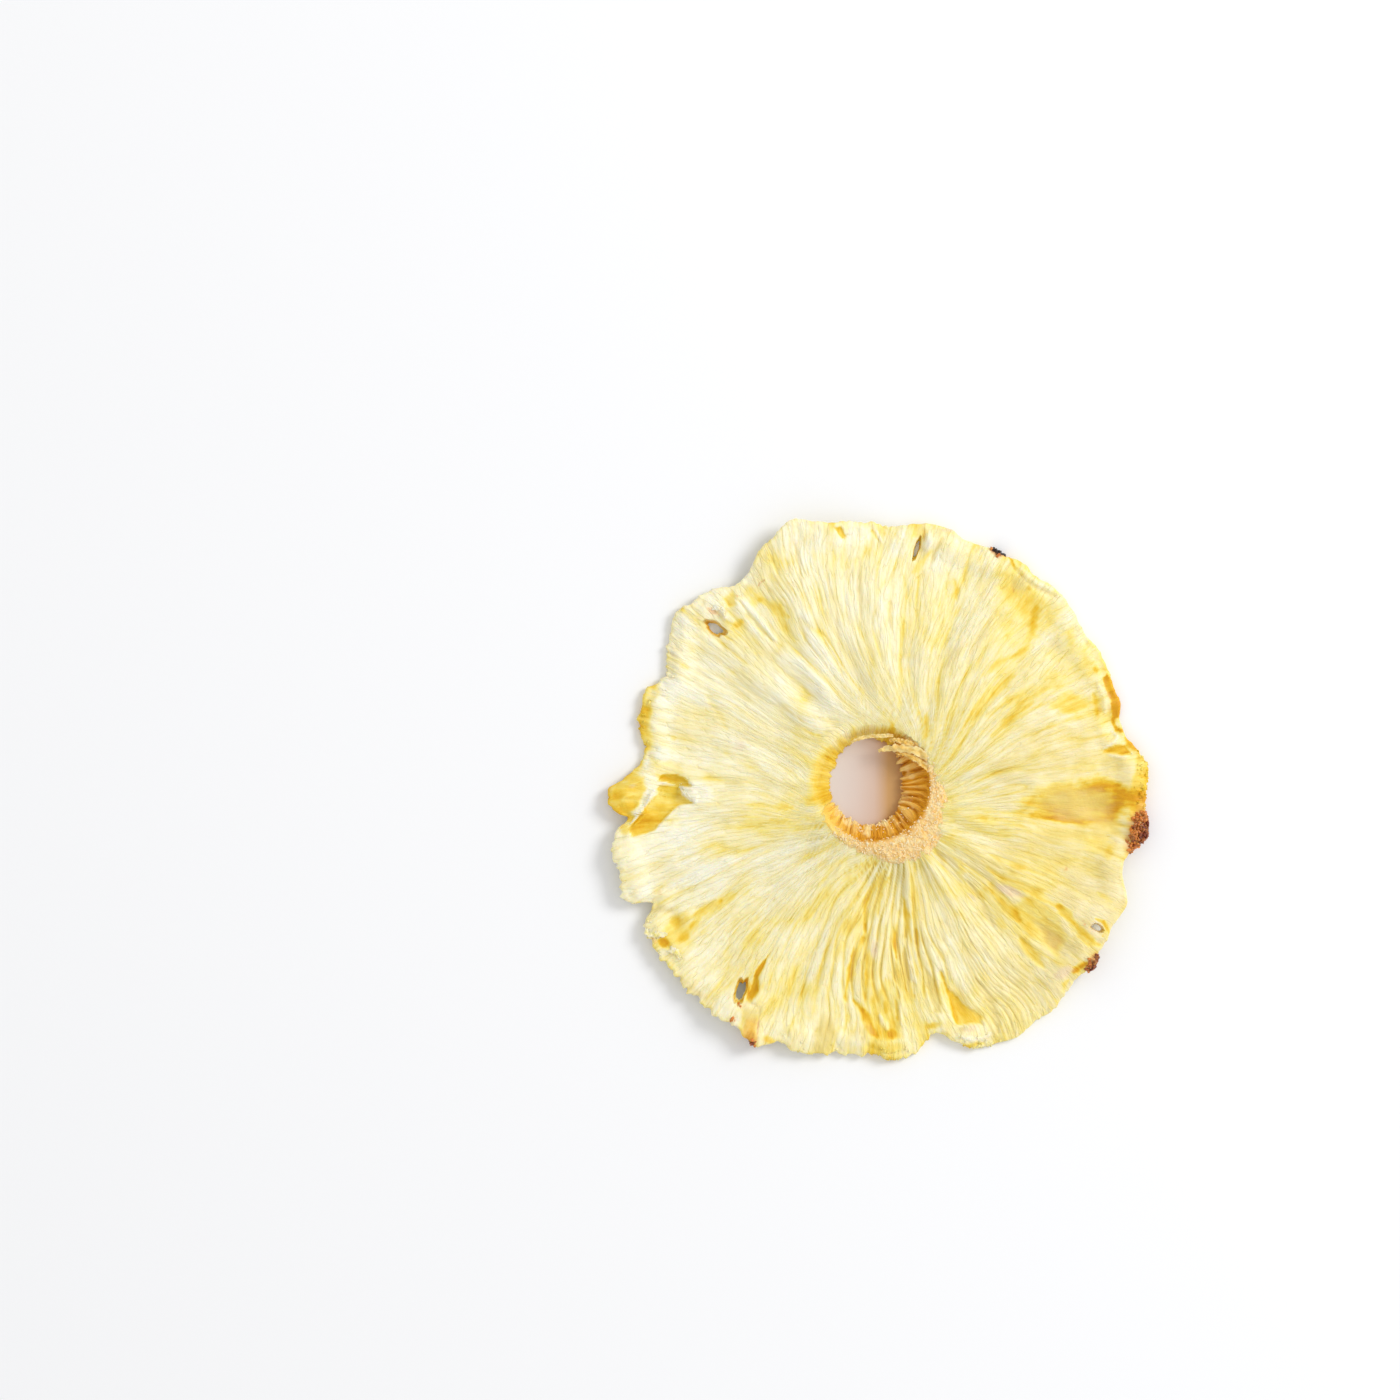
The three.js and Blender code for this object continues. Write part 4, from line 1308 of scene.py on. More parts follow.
@dataclass(frozen=True)
class Flesh:
    """The fibrous flesh as one closed skin, finer than the solid but of the same form."""

    form: RingForm
    columns: int = 1104
    every: int = 3
    inner_every: int = 2
    lining_rows: int = 13
    inner_rows: int = 13
    inner_reach: float = 18.5
    outer_rows: int = 67
    under_rows: int = 14
    crowding: float = 0.85
    edge_turns: tuple = (30.0, 65.0, 105.0, 145.0)
    # Where the columns stand closer together, because the ridges are finest.
    crowded: tuple = (Sector(298, 50, 0.75), Sector(105, 30, 0.3))

    # How the fibres swirl out of the collar, and sway on their way to the rim.
    swirl_mean: float = 8.0
    swirl_swing: float = 30.0
    swirl_towards: float = 45.0
    swirl_rest: Sector = Sector(285, 38, 20)
    swirl_nearest: float = 9.0
    swirl_start: float = 10.4
    swirl_reach: float = 5.2
    swirl_most: float = 1.2
    sways: tuple = (Layer(2.4, 16, 14, 21), Layer(0.9, 44, 6, 22))

    wrinkles: tuple = (
        Wrinkle(44, 15, 0.22, 0.2, 31),
        Wrinkle(92, 10, 0.24, 0.5, 32),
        Wrinkle(170, 7, 0.16, 0.45, 33),
        Wrinkle(310, 6, 0.11, 0.3, 34),
    )
    # The narrowest wrinkle that still shows, and over how much more width it comes up.
    wrinkle_narrowest: float = 0.28
    wrinkle_fade: float = 0.25
    ridge_counts: tuple = (70, 118, 330)
    ridge_height: float = 0.34
    ridge_step: float = 6.0
    ridge_seed: int = 41
    # From where the ridges double their number, and over what distance.
    ridge_split: float = 17.0
    ridge_split_reach: float = 10.0
    ridges: tuple = (
        Ridges(277, 34, 12, 34, 1.1, 0),
        Ridges(303, 11, 22, 50, 1, 1),
        Ridges(303, 16, 13, 26, 0.6, 0),
        Ridges(108, 9, 30, 50, 0.8, 1),
        Ridges(84, 7, 31, 50, 0.6, 1),
        Ridges(262, 8, 33, 50, 0.7, 0.6),
        Ridges(201, 14, 26, 50, 0.35, 1),
        Ridges(40, 26, 10, 24, 0.45, 0),
        Ridges(330, 22, 18, 34, 0.35, 0.3),
        Ridges(225, 26, 14, 50, 0.4, 0.7),
        Ridges(150, 30, 12, 50, 0.35, 0.6),
    )

    # How the edges of marks fray, and the flesh's lumps and crumbs.
    fraying: tuple = (Layer(0.5, 90, 2.6, 61), Layer(0.4, 240, 1.2, 62), Layer(0.3, 560, 0.55, 68))
    lumps: tuple = (Layer(0.14, 60, 3.2, 24), Layer(0.06, 150, 1.3, 25))
    crumb_relief: tuple = (Layer(1, 420, 0.6, 26), Layer(0.6, 250, 1.1, 27))
    # Where the rim crumbles.
    crumbling: tuple = (
        Sector(1, 9), Sector(273, 10), Sector(293, 6, 0.8), Sector(257, 9, 0.5),
        Sector(216, 8, 0.6), Sector(165, 22, 0.3),
    )

    # The rim's tatters: its teeth, where they come in bites, and where they are torn deepest.
    fine_tatter: float = 0.36
    teeth: tuple = (Layer(0.7, 97, 1, 51), Layer(0.6, 230, 1, 52), Layer(0.75, 540, 1, 53))
    bites: Layer = Layer(0.5, 30, 1, 54)
    bitten: Sector = Sector(185, 10, 0.8)
    torn_rim: tuple = (Sector(176, 62), Sector(250, 58), Sector(184, 9))

    # The lining of the hole: how it frays at the floor, its ribs, and the lip that laps the collar.
    lining_fray: tuple = (Layer(0.3, 70, 1.5, 55), Layer(0.16, 240, 0.8, 56))
    lining_ribs: int = 150
    lining_rib_height: float = 0.13
    lap: tuple = (Layer(0.25, 160, 1, 58), Layer(0.15, 60, 1, 59))

    def angles(self) -> np.ndarray:
        """Returns the columns' angles, closer together where the ridges are finest."""
        whole = np.linspace(0.0, 360.0, 3601)
        crowd = sum((sector.at(whole) for sector in self.crowded), 1.0)
        run = np.concatenate([[0.0], np.cumsum((crowd[1:] + crowd[:-1]) / 2.0)])
        return np.interp(np.arange(self.columns) / self.columns * run[-1], run, whole)

    def fibre(self, angle: Field, radius: Field) -> Field:
        """Returns the fibre's own angle, swayed as it runs outwards."""
        reach = np.exp(-(np.maximum(radius, self.swirl_nearest) - self.swirl_start) / self.swirl_reach)
        swing = self.swirl_swing * np.cos(np.radians(angle - self.swirl_towards))
        swirl = self.swirl_mean + swing - self.swirl_rest.at(angle)
        return heap(self.sways, angle, radius, angle + swirl * np.minimum(self.swirl_most, reach))

    def vigour(self, angle: Field, radius: Field) -> tuple:
        """Returns how strongly the parallel ridges stand out, and how fine they are."""
        gain, fine, weight = 0.0, 0.0, 1e-6
        for stretch in self.ridges:
            here = stretch.at(angle, radius)
            gain = np.maximum(gain, stretch.gain * here)
            fine = fine + stretch.fineness * here
            weight = weight + here
        return gain, fine / weight

    def relief(self, angle: Field, radius: Field) -> tuple:
        """Returns the fibres' relief.

        Args:
            angle: Degrees round the core.
            radius: Millimetres from the core's axis.

        Returns:
            The relief in millimetres, and how much each place lies in a crease.
        """
        run = self.fibre(angle, radius)
        relief = np.zeros_like(angle)
        crease = np.zeros_like(angle)
        for w in self.wrinkles:
            shown = 0.65 + 0.5 * noise(angle, 22, radius, 8.0, w.seed + 100)
            width = radius * 360.0 / w.count / DEGREES_IN_RADIAN
            near = smooth((width - self.wrinkle_narrowest) / self.wrinkle_fade)
            fold = np.abs(noise(run, w.count, radius, w.length, w.seed))
            relief = relief + w.height * shown * near * (crest(fold, 0.6) - 0.6)
            crease = crease + w.crease * shown * near * (1.0 - smooth(fold / 0.24))
        gain, fine = self.vigour(angle, radius)
        inner, middle, outer = (
            strands(run, count, radius, self.ridge_step, seed)
            for seed, count in enumerate(self.ridge_counts, self.ridge_seed)
        )
        coarse = mix(inner, middle, smooth((radius - self.ridge_split) / self.ridge_split_reach))
        ridge = mix(coarse, outer, fine)
        calmed = 1.0 - 0.4 * np.minimum(1.0, gain)
        raised = self.ridge_height * gain * (1.0 - 0.45 * fine) * (crest(ridge, 0.75) - 0.62)
        relief = relief * calmed + raised
        crease = crease * calmed + 0.85 * gain * (1.0 - smooth(ridge / 0.42))
        return relief, crease

    def ragged(self, angle: Field, radius: Field) -> Field:
        """Returns the noise that frays the edges of marks."""
        return heap(self.fraying, angle, radius)

    def sink(self, angle: Field, radius: Field, ragged: Field) -> Field:
        """Returns how deep the marks sink into the flesh."""
        depth = np.zeros_like(angle)
        for mark in MARKS:
            if mark.sink:
                depth = depth + mark.sink * mark.cover(angle, radius, ragged)
        return depth

    def crumbly(self, angle: Field) -> Field:
        """Returns how crumbly the rim is at each angle."""
        return sum(sector.at(angle) for sector in self.crumbling)

    def rim(self, angle: Field) -> Field:
        """Returns the rim with its fine tatters."""
        nibble = 0.5 + self.bites.at(angle) + self.bitten.at(angle)
        torn = sum(sector.at(angle) for sector in self.torn_rim)
        shown = 0.45 + 1.1 * np.minimum(1.5, torn)
        return self.form.rim(angle) + self.fine_tatter * heap(self.teeth, angle) * (0.35 + nibble) * shown

    def top(self, angle: Field, radius: Field, rim: Field, ring: Collar) -> Field:
        """Returns the height of the flesh's top.

        Args:
            angle: Degrees round the core.
            radius: Millimetres from the core's axis.
            rim: The distance to the rim at those angles.
            ring: The collar at those angles.

        Returns:
            Millimetres above the floor.
        """
        form = self.form
        share = form.share_out(radius, rim, ring)
        low = form.underside(angle, radius, share)
        fade = smooth((radius - ring.shoulder) / (1.6 + 1.4 * form.wraps(angle)))
        fade = fade * smooth((rim - radius) / 1.2)
        fibres, _ = self.relief(angle, radius)
        margin = smooth((radius - rim + 2.6) / 1.6)
        crumbly = 0.12 + 0.1 * np.minimum(1.0, self.crumbly(angle))
        marks = self.sink(angle, radius, self.ragged(angle, radius)) * fade
        fibres = fibres * fade * (1.0 - 0.5 * margin) * (1.0 - 0.5 * np.clip(marks / 0.4, 0.0, 1.0))
        fibres = fibres + heap(self.lumps, angle, radius) * fade
        fibres = fibres + crumbly * margin * heap(self.crumb_relief, angle, radius)
        thick = form.thickness(angle, radius, share, rim, ring) + fibres - marks
        return low + np.maximum(0.5 * form.thinnest, thick) + form.knob_height(angle, radius)

    def build(self) -> bpy.types.Object:
        """Builds the closed skin, cuts the torn eyes through it, and gives it its attributes.

        Returns:
            The finished piece, without its material.
        """
        form = self.form
        angle = self.angles()
        ring, rim = form.collar(angle), self.rim(angle)
        points, faces, starts = [], [], []

        def add_rows(rows: list, at: np.ndarray) -> None:
            """Adds rows of (radius, height) and the faces between them."""
            starts.append(sum(len(p) for p in points))
            for radius, height in rows:
                points.append(form.place(at, radius, height))
            faces.extend(quad_rows(starts[-1], len(rows), len(at)).tolist())

        def cut(every: int) -> tuple:
            """Returns every so many of the columns, with their collar and rim."""
            return angle[::every], form.collar(angle[::every]), rim[::every]

        def top_rows(at: Field, collar: Collar, edge: Field, near: Field, far: Field, count: int) -> list:
            """Returns so many rows of the top, from past the near distance out to the far one."""
            rows = []
            for k in range(1, count + 1):
                radius = mix(near, far, (k / count) ** self.crowding)
                rows.append((radius, self.top(at, radius, edge, collar)))
            return rows

        at, collar, edge = cut(self.inner_every)
        inner = self._lining(at, collar, edge)
        inner += top_rows(at, collar, edge, inner[-1][0], self.inner_reach, self.inner_rows)
        add_rows(inner, at)
        outer_edge = rim - form.edge_round
        rows = top_rows(angle, ring, rim, self.inner_reach, outer_edge, self.outer_rows)
        low = form.underside(angle, rim, np.ones_like(angle))
        high = rows[-1][1]
        for turn in self.edge_turns:
            out, up = math.sin(math.radians(turn)), (1.0 + math.cos(math.radians(turn))) / 2.0
            rows.append((mix(outer_edge, rim, out), mix(low, high, up)))
        add_rows(rows, angle)
        at, collar, edge = cut(self.every)
        rows = []
        for k in range(self.under_rows, -1, -1):
            radius = mix(collar.heel, edge - form.edge_round, (k / self.under_rows) ** self.crowding)
            rows.append((radius, form.underside(at, radius, form.share_out(radius, edge, collar))))
        add_rows(rows, at)
        counts = [len(angle) // n for n in (self.inner_every, 1, self.every)]
        inner_end = starts[1] - counts[0]
        faces += seam(starts[1], inner_end, counts[0], self.inner_every, False)
        outer_end = starts[2] - counts[1]
        faces += seam(outer_end, starts[2], counts[2], self.every, True)
        faces += self._close(starts[0], counts[0], starts[2] + (len(rows) - 1) * counts[2], counts[2])
        piece = link("flesh", inside_box(np.concatenate(points)), faces)
        self._tear(piece)
        Colouring(self).mark(piece)
        return piece

    def _lining(self, at: np.ndarray, ring: Collar, rim: Field) -> list:
        """Returns the rows from the flesh's foot up to its shoulder.

        Where the collar shows, they lie buried behind it. Elsewhere they line the hole.

        Args:
            at: The columns' angles.
            ring: The collar at those angles.
            rim: The distance to the rim there.

        Returns:
            Rows of (radius, height).
        """
        wraps = self.form.wraps(at)
        knots = self.form.wall(ring)
        shoulder = ring.shoulder + 0.15
        knots.append((shoulder, self.top(at, shoulder, rim, ring)))
        lapped = heap(self.lap, at, base=shoulder - 0.3)
        tucked = lapped - 0.45
        hidden = [
            (ring.heel - 0.6, np.full_like(at, 0.25)),
            (tucked, self.top(at, tucked, rim, ring) - 0.9),
            (lapped, self.top(at, lapped, rim, ring) - 0.05),
        ]
        last = len(knots) - 1
        rows = []
        for k in range(self.lining_rows + 1):
            t = k / self.lining_rows
            radius, height = through(knots, t * last)
            frayed = heap(self.lining_fray, at, height) * (1.0 - t)
            inside = strands(self.fibre(at, radius), self.lining_ribs, height, 2.0, 57) - 0.4
            ribs = self.lining_rib_height * inside * np.sin(np.pi * t)
            far = float(np.interp(t, (0.0, 0.8, 1.0), (0.0, 1.0, 2.0)))
            u = min(int(far), 1)
            behind = [mix(hidden[u][axis], hidden[u + 1][axis], far - u) for axis in (0, 1)]
            rows.append((mix(behind[0], radius + frayed - ribs, wraps), mix(behind[1], height, wraps)))
        return rows

    def _close(self, first: int, fine: int, last: int, coarse: int) -> list:
        """Joins the underside's last row to the first row, whose columns are 3 to its 2.

        Args:
            first: The first vertex of the first row.
            fine: How many vertices that row has.
            last: The first vertex of the last row.
            coarse: How many vertices that row has.

        Returns:
            The faces.
        """
        faces = []
        for k in range(coarse // 2):
            a = [last + (2 * k + n) % coarse for n in range(3)]
            b = [first + (3 * k + n) % fine for n in range(4)]
            faces += [(a[0], b[0], b[1]), (a[0], b[1], a[1]), (a[1], b[1], b[2])]
            faces += [(a[1], b[2], a[2]), (a[2], b[2], b[3])]
        return faces

    def _tear(self, piece: bpy.types.Object) -> None:
        """Cuts the torn eyes out of the piece, each a funnel that narrows to a slit."""
        vertices, faces = [], []
        sides = 40
        for tear in TEARS:
            around = np.arange(sides) * 360.0 / sides
            ragged = 1.0 + 0.2 * noise(around, 9, seed=round(tear.angle)) + 0.12 * noise(around, 20, seed=9)
            turn = math.radians(tear.angle + tear.turn)
            u = tear.half_length * ragged * np.cos(np.radians(around))
            v = tear.half_width * ragged * np.sin(np.radians(around))
            middle = self.form.place(tear.angle, tear.distance, 0.0)
            low, high = self.levels(tear)
            levels = ((-3.0, 0.55), (low + 0.1, 0.6), (mix(low, high, 0.5), 0.8), (high, 1.0), (9.0, 1.1))
            start = len(vertices) * sides
            for level, share in levels:
                x = middle[0] + share * (u * math.cos(turn) - v * math.sin(turn))
                y = middle[1] + share * (u * math.sin(turn) + v * math.cos(turn))
                vertices.append(np.stack([x, y, np.full(sides, level)], 1))
            faces += quad_rows(start, len(levels), sides)[:, ::-1].tolist()
            top = start + (len(levels) - 1) * sides
            faces.append(list(range(start, start + sides))[::-1])
            faces.append(list(range(top, top + sides)))
        cutter = link("tears", np.concatenate(vertices), faces)
        cut = piece.modifiers.new("tears", "BOOLEAN")
        cut.operation = "DIFFERENCE"
        cut.solver = "MANIFOLD"
        cut.object = cutter
        settle(piece)
        bpy.data.objects.remove(cutter)

    def levels(self, tear: Tear) -> tuple:
        """Returns the height of the flesh's underside and top at a tear."""
        angle, radius = np.array([tear.angle]), np.array([tear.distance])
        ring, rim = self.form.collar(angle), self.form.rim(angle)
        share = self.form.share_out(radius, rim, ring)
        return self.form.underside(angle, radius, share)[0], self.top(angle, radius, rim, ring)[0]


@dataclass(frozen=True)
class Colouring:
    """Where the flesh is ripe, dull, browned, crumbly and calm, and where shade is painted into it, as
    attributes of its mesh.
    """

    flesh: Flesh

    # How ripe it is before its marks: the whole, the side that is riper, and three broad stretches.
    ripeness: float = 0.365
    ripe_side: float = 0.05
    ripe_towards: float = -20.0
    pale_top: Sector = Sector(138, 120, 0.08)
    gold_low: Sector = Sector(272, 30, 0.1)
    gold_low_middle: float = 22.0
    gold_low_reach: float = 14.0
    mottling: Layer = Layer(0.1, 64, 9, 63)
    clouding: Layer = Layer(0.05, 24, 6, 64)

    # How marks add up: their gain, the strength past which they level off, and how they split.
    mark_gain: float = 1.26
    level_from: float = 0.4
    level_room: float = 0.25
    mark_fray: Layer = Layer(0.6, 280, 5, 70)
    mark_grain: tuple = (Layer(0.17, 230, 7, 71), Layer(0.08, 80, 5, 72))

    # Stretches where creases show less or more: fine ribs, the cool left and the rich foot.
    fine_ribs: Sector = Sector(303, 18)
    cool_left: Sector = Sector(185, 60, 0.7)
    rich_foot: Sector = Sector(270, 80)
    straw: Sector = Sector(346, 62)
    straw_clumps: Layer = Layer(0.45, 40, 4, 69)
    # The low side, where creases are painted with shade.
    shaded_creases_low: Sector = Sector(280, 36)

    # The riper rim, and where it stays pale.
    rim_ripe: float = 0.12
    rim_pale: tuple = (Sector(307, 16, 0.12), Sector(200, 14, 0.1))

    # The golden band where the flesh lines the hole.
    band_fray: tuple = (Layer(1.1, 110, 2.5, 66), Layer(0.9, 36, 4, 67))
    band_width: float = 0.9
    band_wider: Sector = Sector(192, 54, 1.9)
    band_ripe: float = 0.47
    band_richer: Sector = Sector(205, 50, 0.08)
    # Paler at 160 degrees, and at the top, where the lining slopes into the hole and lies in shade: painted
    # light.
    band_paler: tuple = (Sector(160, 18, 0.12), Sector(98, 34, 0.16))

    # Browned flesh turns to grit past this strength, but not at the tip near the top.
    grit_from: float = 0.52
    smooth_tip: Sector = Sector(60.4, 6, 0.44)
    crumb_clumps: Layer = Layer(1.2, 40, 2, 65)
    calm_right: Sector = Sector(350, 52, 0.7)

    def mark(self, piece: bpy.types.Object) -> None:
        """Writes the attributes that the material and the scattered pieces read."""
        mesh = piece.data
        form, flesh = self.flesh.form, self.flesh
        places = places_of(mesh)
        angle, radius = form.polar(places)
        ring, rim = form.collar(angle), flesh.rim(angle)
        run = flesh.fibre(angle, radius)
        stamp_grain(mesh, run, radius)
        ragged = flesh.ragged(angle, radius)
        tones = self._tones(angle, radius, ragged + self.mark_fray.at(run, radius))
        grit = smooth((tones[BROWN] - self.grit_from - self.smooth_tip.at(angle)) / 0.1)
        extra = self._levelled(tones[RIPE])
        extra = extra * heap(self.mark_grain, run, radius, 1.0)
        relief, crease = flesh.relief(angle, radius)
        _, fine = flesh.vigour(angle, radius)
        ribs = fine * self.fine_ribs.at(angle)
        lively = smooth((radius - ring.shoulder) / (1.0 + 1.8 * form.wraps(angle)))
        lively = lively * (1.0 - 0.6 * np.clip(extra / 0.4, 0.0, 1.0))
        warm = 1.0 - self.cool_left.at(angle)
        ripe = self._ground(angle, radius, run)
        # Creases are riper and crests paler: partly the flesh's own colour, partly painted shade.
        folds = mix(0.15, 0.02, ribs) * warm * crease - mix(0.95, 0.35, ribs) * relief
        ripe += folds * lively + extra - 0.05 * ribs
        ripe += smooth((17.0 - radius) / 6.0) * (0.06 + 0.16 * crease * self.rich_foot.at(angle))
        ripe += self._edge(angle) * smooth((radius - rim + 0.9) / 0.9)
        band = self._band(angle, radius, run, ring, ragged)
        ripe += (self._richness(angle) + 0.1 * ragged) * band
        underside = form.underside(angle, radius, form.share_out(radius, rim, ring))
        under = smooth((underside + 0.15 - places[:, 2]) / 0.1)
        ripe += 0.08 * under
        # A tear's walls are riper and browned, the browning partly painted shade inside the hole.
        torn, scorch_and_shade = self._torn(places)
        tones[RIPE] = ripe + 0.5 * torn * (1.0 - under)
        tones[BROWN] = np.maximum(tones[BROWN], scorch_and_shade * (1.0 - under))
        straw = self.straw.at(angle) * smooth((radius - 15.0) / 12.0)
        straw = straw * (0.55 + self.straw_clumps.at(angle, radius)) * (1.0 - np.clip(extra / 0.3, 0.0, 1.0))
        low = self.shaded_creases_low.at(angle) * smooth((36.0 - radius) / 8.0)
        # Painted shade in the creases of the fine ribs and of the low side, and the straw wash, all take the
        # dull tone.
        for dull in (0.75 * ribs * crease, 0.9 * straw, 0.8 * low * crease):
            tones[DULL_AND_SHADE] = np.maximum(tones[DULL_AND_SHADE], dull)
        margin = smooth((radius - rim + 2.2) / 1.0) * (1.0 - under)
        clumps = 0.25 + 0.75 * smooth(0.5 + self.crumb_clumps.at(angle, radius))
        calm = np.clip(extra / 0.35, 0.0, 1.0) + band
        calm = np.maximum(calm, self.calm_right.at(angle) * smooth((radius - 19.0) / 9.0))
        values = {tone.value: cover for tone, cover in tones.items()}
        values["crumbs"] = margin * clumps * np.clip(flesh.crumbly(angle), 0.0, 1.0)
        values["lively"] = 1.0 - 0.75 * np.minimum(calm, 1.0)
        values["grit"] = grit
        stamp(mesh, values)
        mesh.shade_smooth()
        mesh.set_sharp_from_angle(angle=math.radians(66.0))

    def _tones(self, angle: Field, radius: Field, ragged: Field) -> dict:
        """Returns how much the marks give each place of each tone."""
        tones = {tone: np.zeros_like(angle) for tone in Tone}
        for mark in MARKS:
            cover = mark.strength * mark.cover(angle, radius, ragged)
            if mark.tone is RIPE:
                tones[RIPE] += cover * (self.mark_gain if mark.strength > 0.0 else 1.0)
            else:
                tones[mark.tone] = np.maximum(tones[mark.tone], cover)
        return tones

    def _levelled(self, extra: Field) -> Field:
        """Returns the marks' ripeness, levelled off where many lie on each other."""
        more = 1.0 - np.exp(-(extra - self.level_from) / self.level_room)
        return np.where(extra > self.level_from, self.level_from + self.level_room * more, extra)

    def _ground(self, angle: Field, radius: Field, run: Field) -> Field:
        """Returns how ripe the flesh is before its marks and creases."""
        side = self.ripe_side * np.cos(np.radians(angle - self.ripe_towards))
        low = self.gold_low.at(angle) * bump((radius - self.gold_low_middle) / self.gold_low_reach)
        ripe = self.ripeness + side - self.pale_top.at(angle) + low
        return ripe + (self.mottling.at(run, radius) + self.clouding.at(angle, radius))

    def _edge(self, angle: Field) -> Field:
        """Returns how much riper the rim is at each angle."""
        edge = self.rim_ripe
        for pale in self.rim_pale:
            edge = edge - pale.at(angle)
        return edge

    def _band(self, angle: Field, radius: Field, run: Field, ring: Collar, ragged: Field) -> Field:
        """Returns how much the golden band round the hole covers each place.

        Args:
            angle: Degrees round the core.
            radius: Millimetres from the core's axis.
            run: The fibre's own angle.
            ring: The collar at those angles.
            ragged: Noise from -1 to 1 that makes the band's ends uneven.

        Returns:
            A share from 0 to 1.
        """
        wide = self.band_width + self.band_wider.at(angle)
        outer = ring.shoulder + wide + heap(self.band_fray, run, radius)
        return smooth((outer - radius) / 2.6) * self.flesh.form.wraps(angle + 8.0 * ragged)

    def _richness(self, angle: Field) -> Field:
        """Returns how ripe the golden band is at each angle."""
        richness = self.band_ripe + self.band_richer.at(angle)
        for paler in self.band_paler:
            richness = richness - paler.at(angle)
        return richness

    def _torn(self, places: np.ndarray) -> tuple:
        """Returns how deep inside a tear each place lies, and how browned it is, which is partly painted
        shade.
        """
        depth, scorch_and_shade = np.zeros(len(places)), np.zeros(len(places))
        for tear in TEARS:
            middle = self.flesh.form.place(tear.angle, tear.distance, 0.0)
            turn = math.radians(tear.angle + tear.turn)
            dx, dy = places[:, 0] - middle[0], places[:, 1] - middle[1]
            u = (dx * math.cos(turn) + dy * math.sin(turn)) / tear.half_length
            v = (dy * math.cos(turn) - dx * math.sin(turn)) / tear.half_width
            _, high = self.flesh.levels(tear)
            near = smooth((1.2 - np.hypot(u, v)) / 0.12)
            here = near * smooth((high - 0.05 - places[:, 2]) / 0.5)
            depth = np.maximum(depth, here)
            scorch_and_shade = np.maximum(scorch_and_shade, tear.scorch_and_shade * here)
        return depth, scorch_and_shade


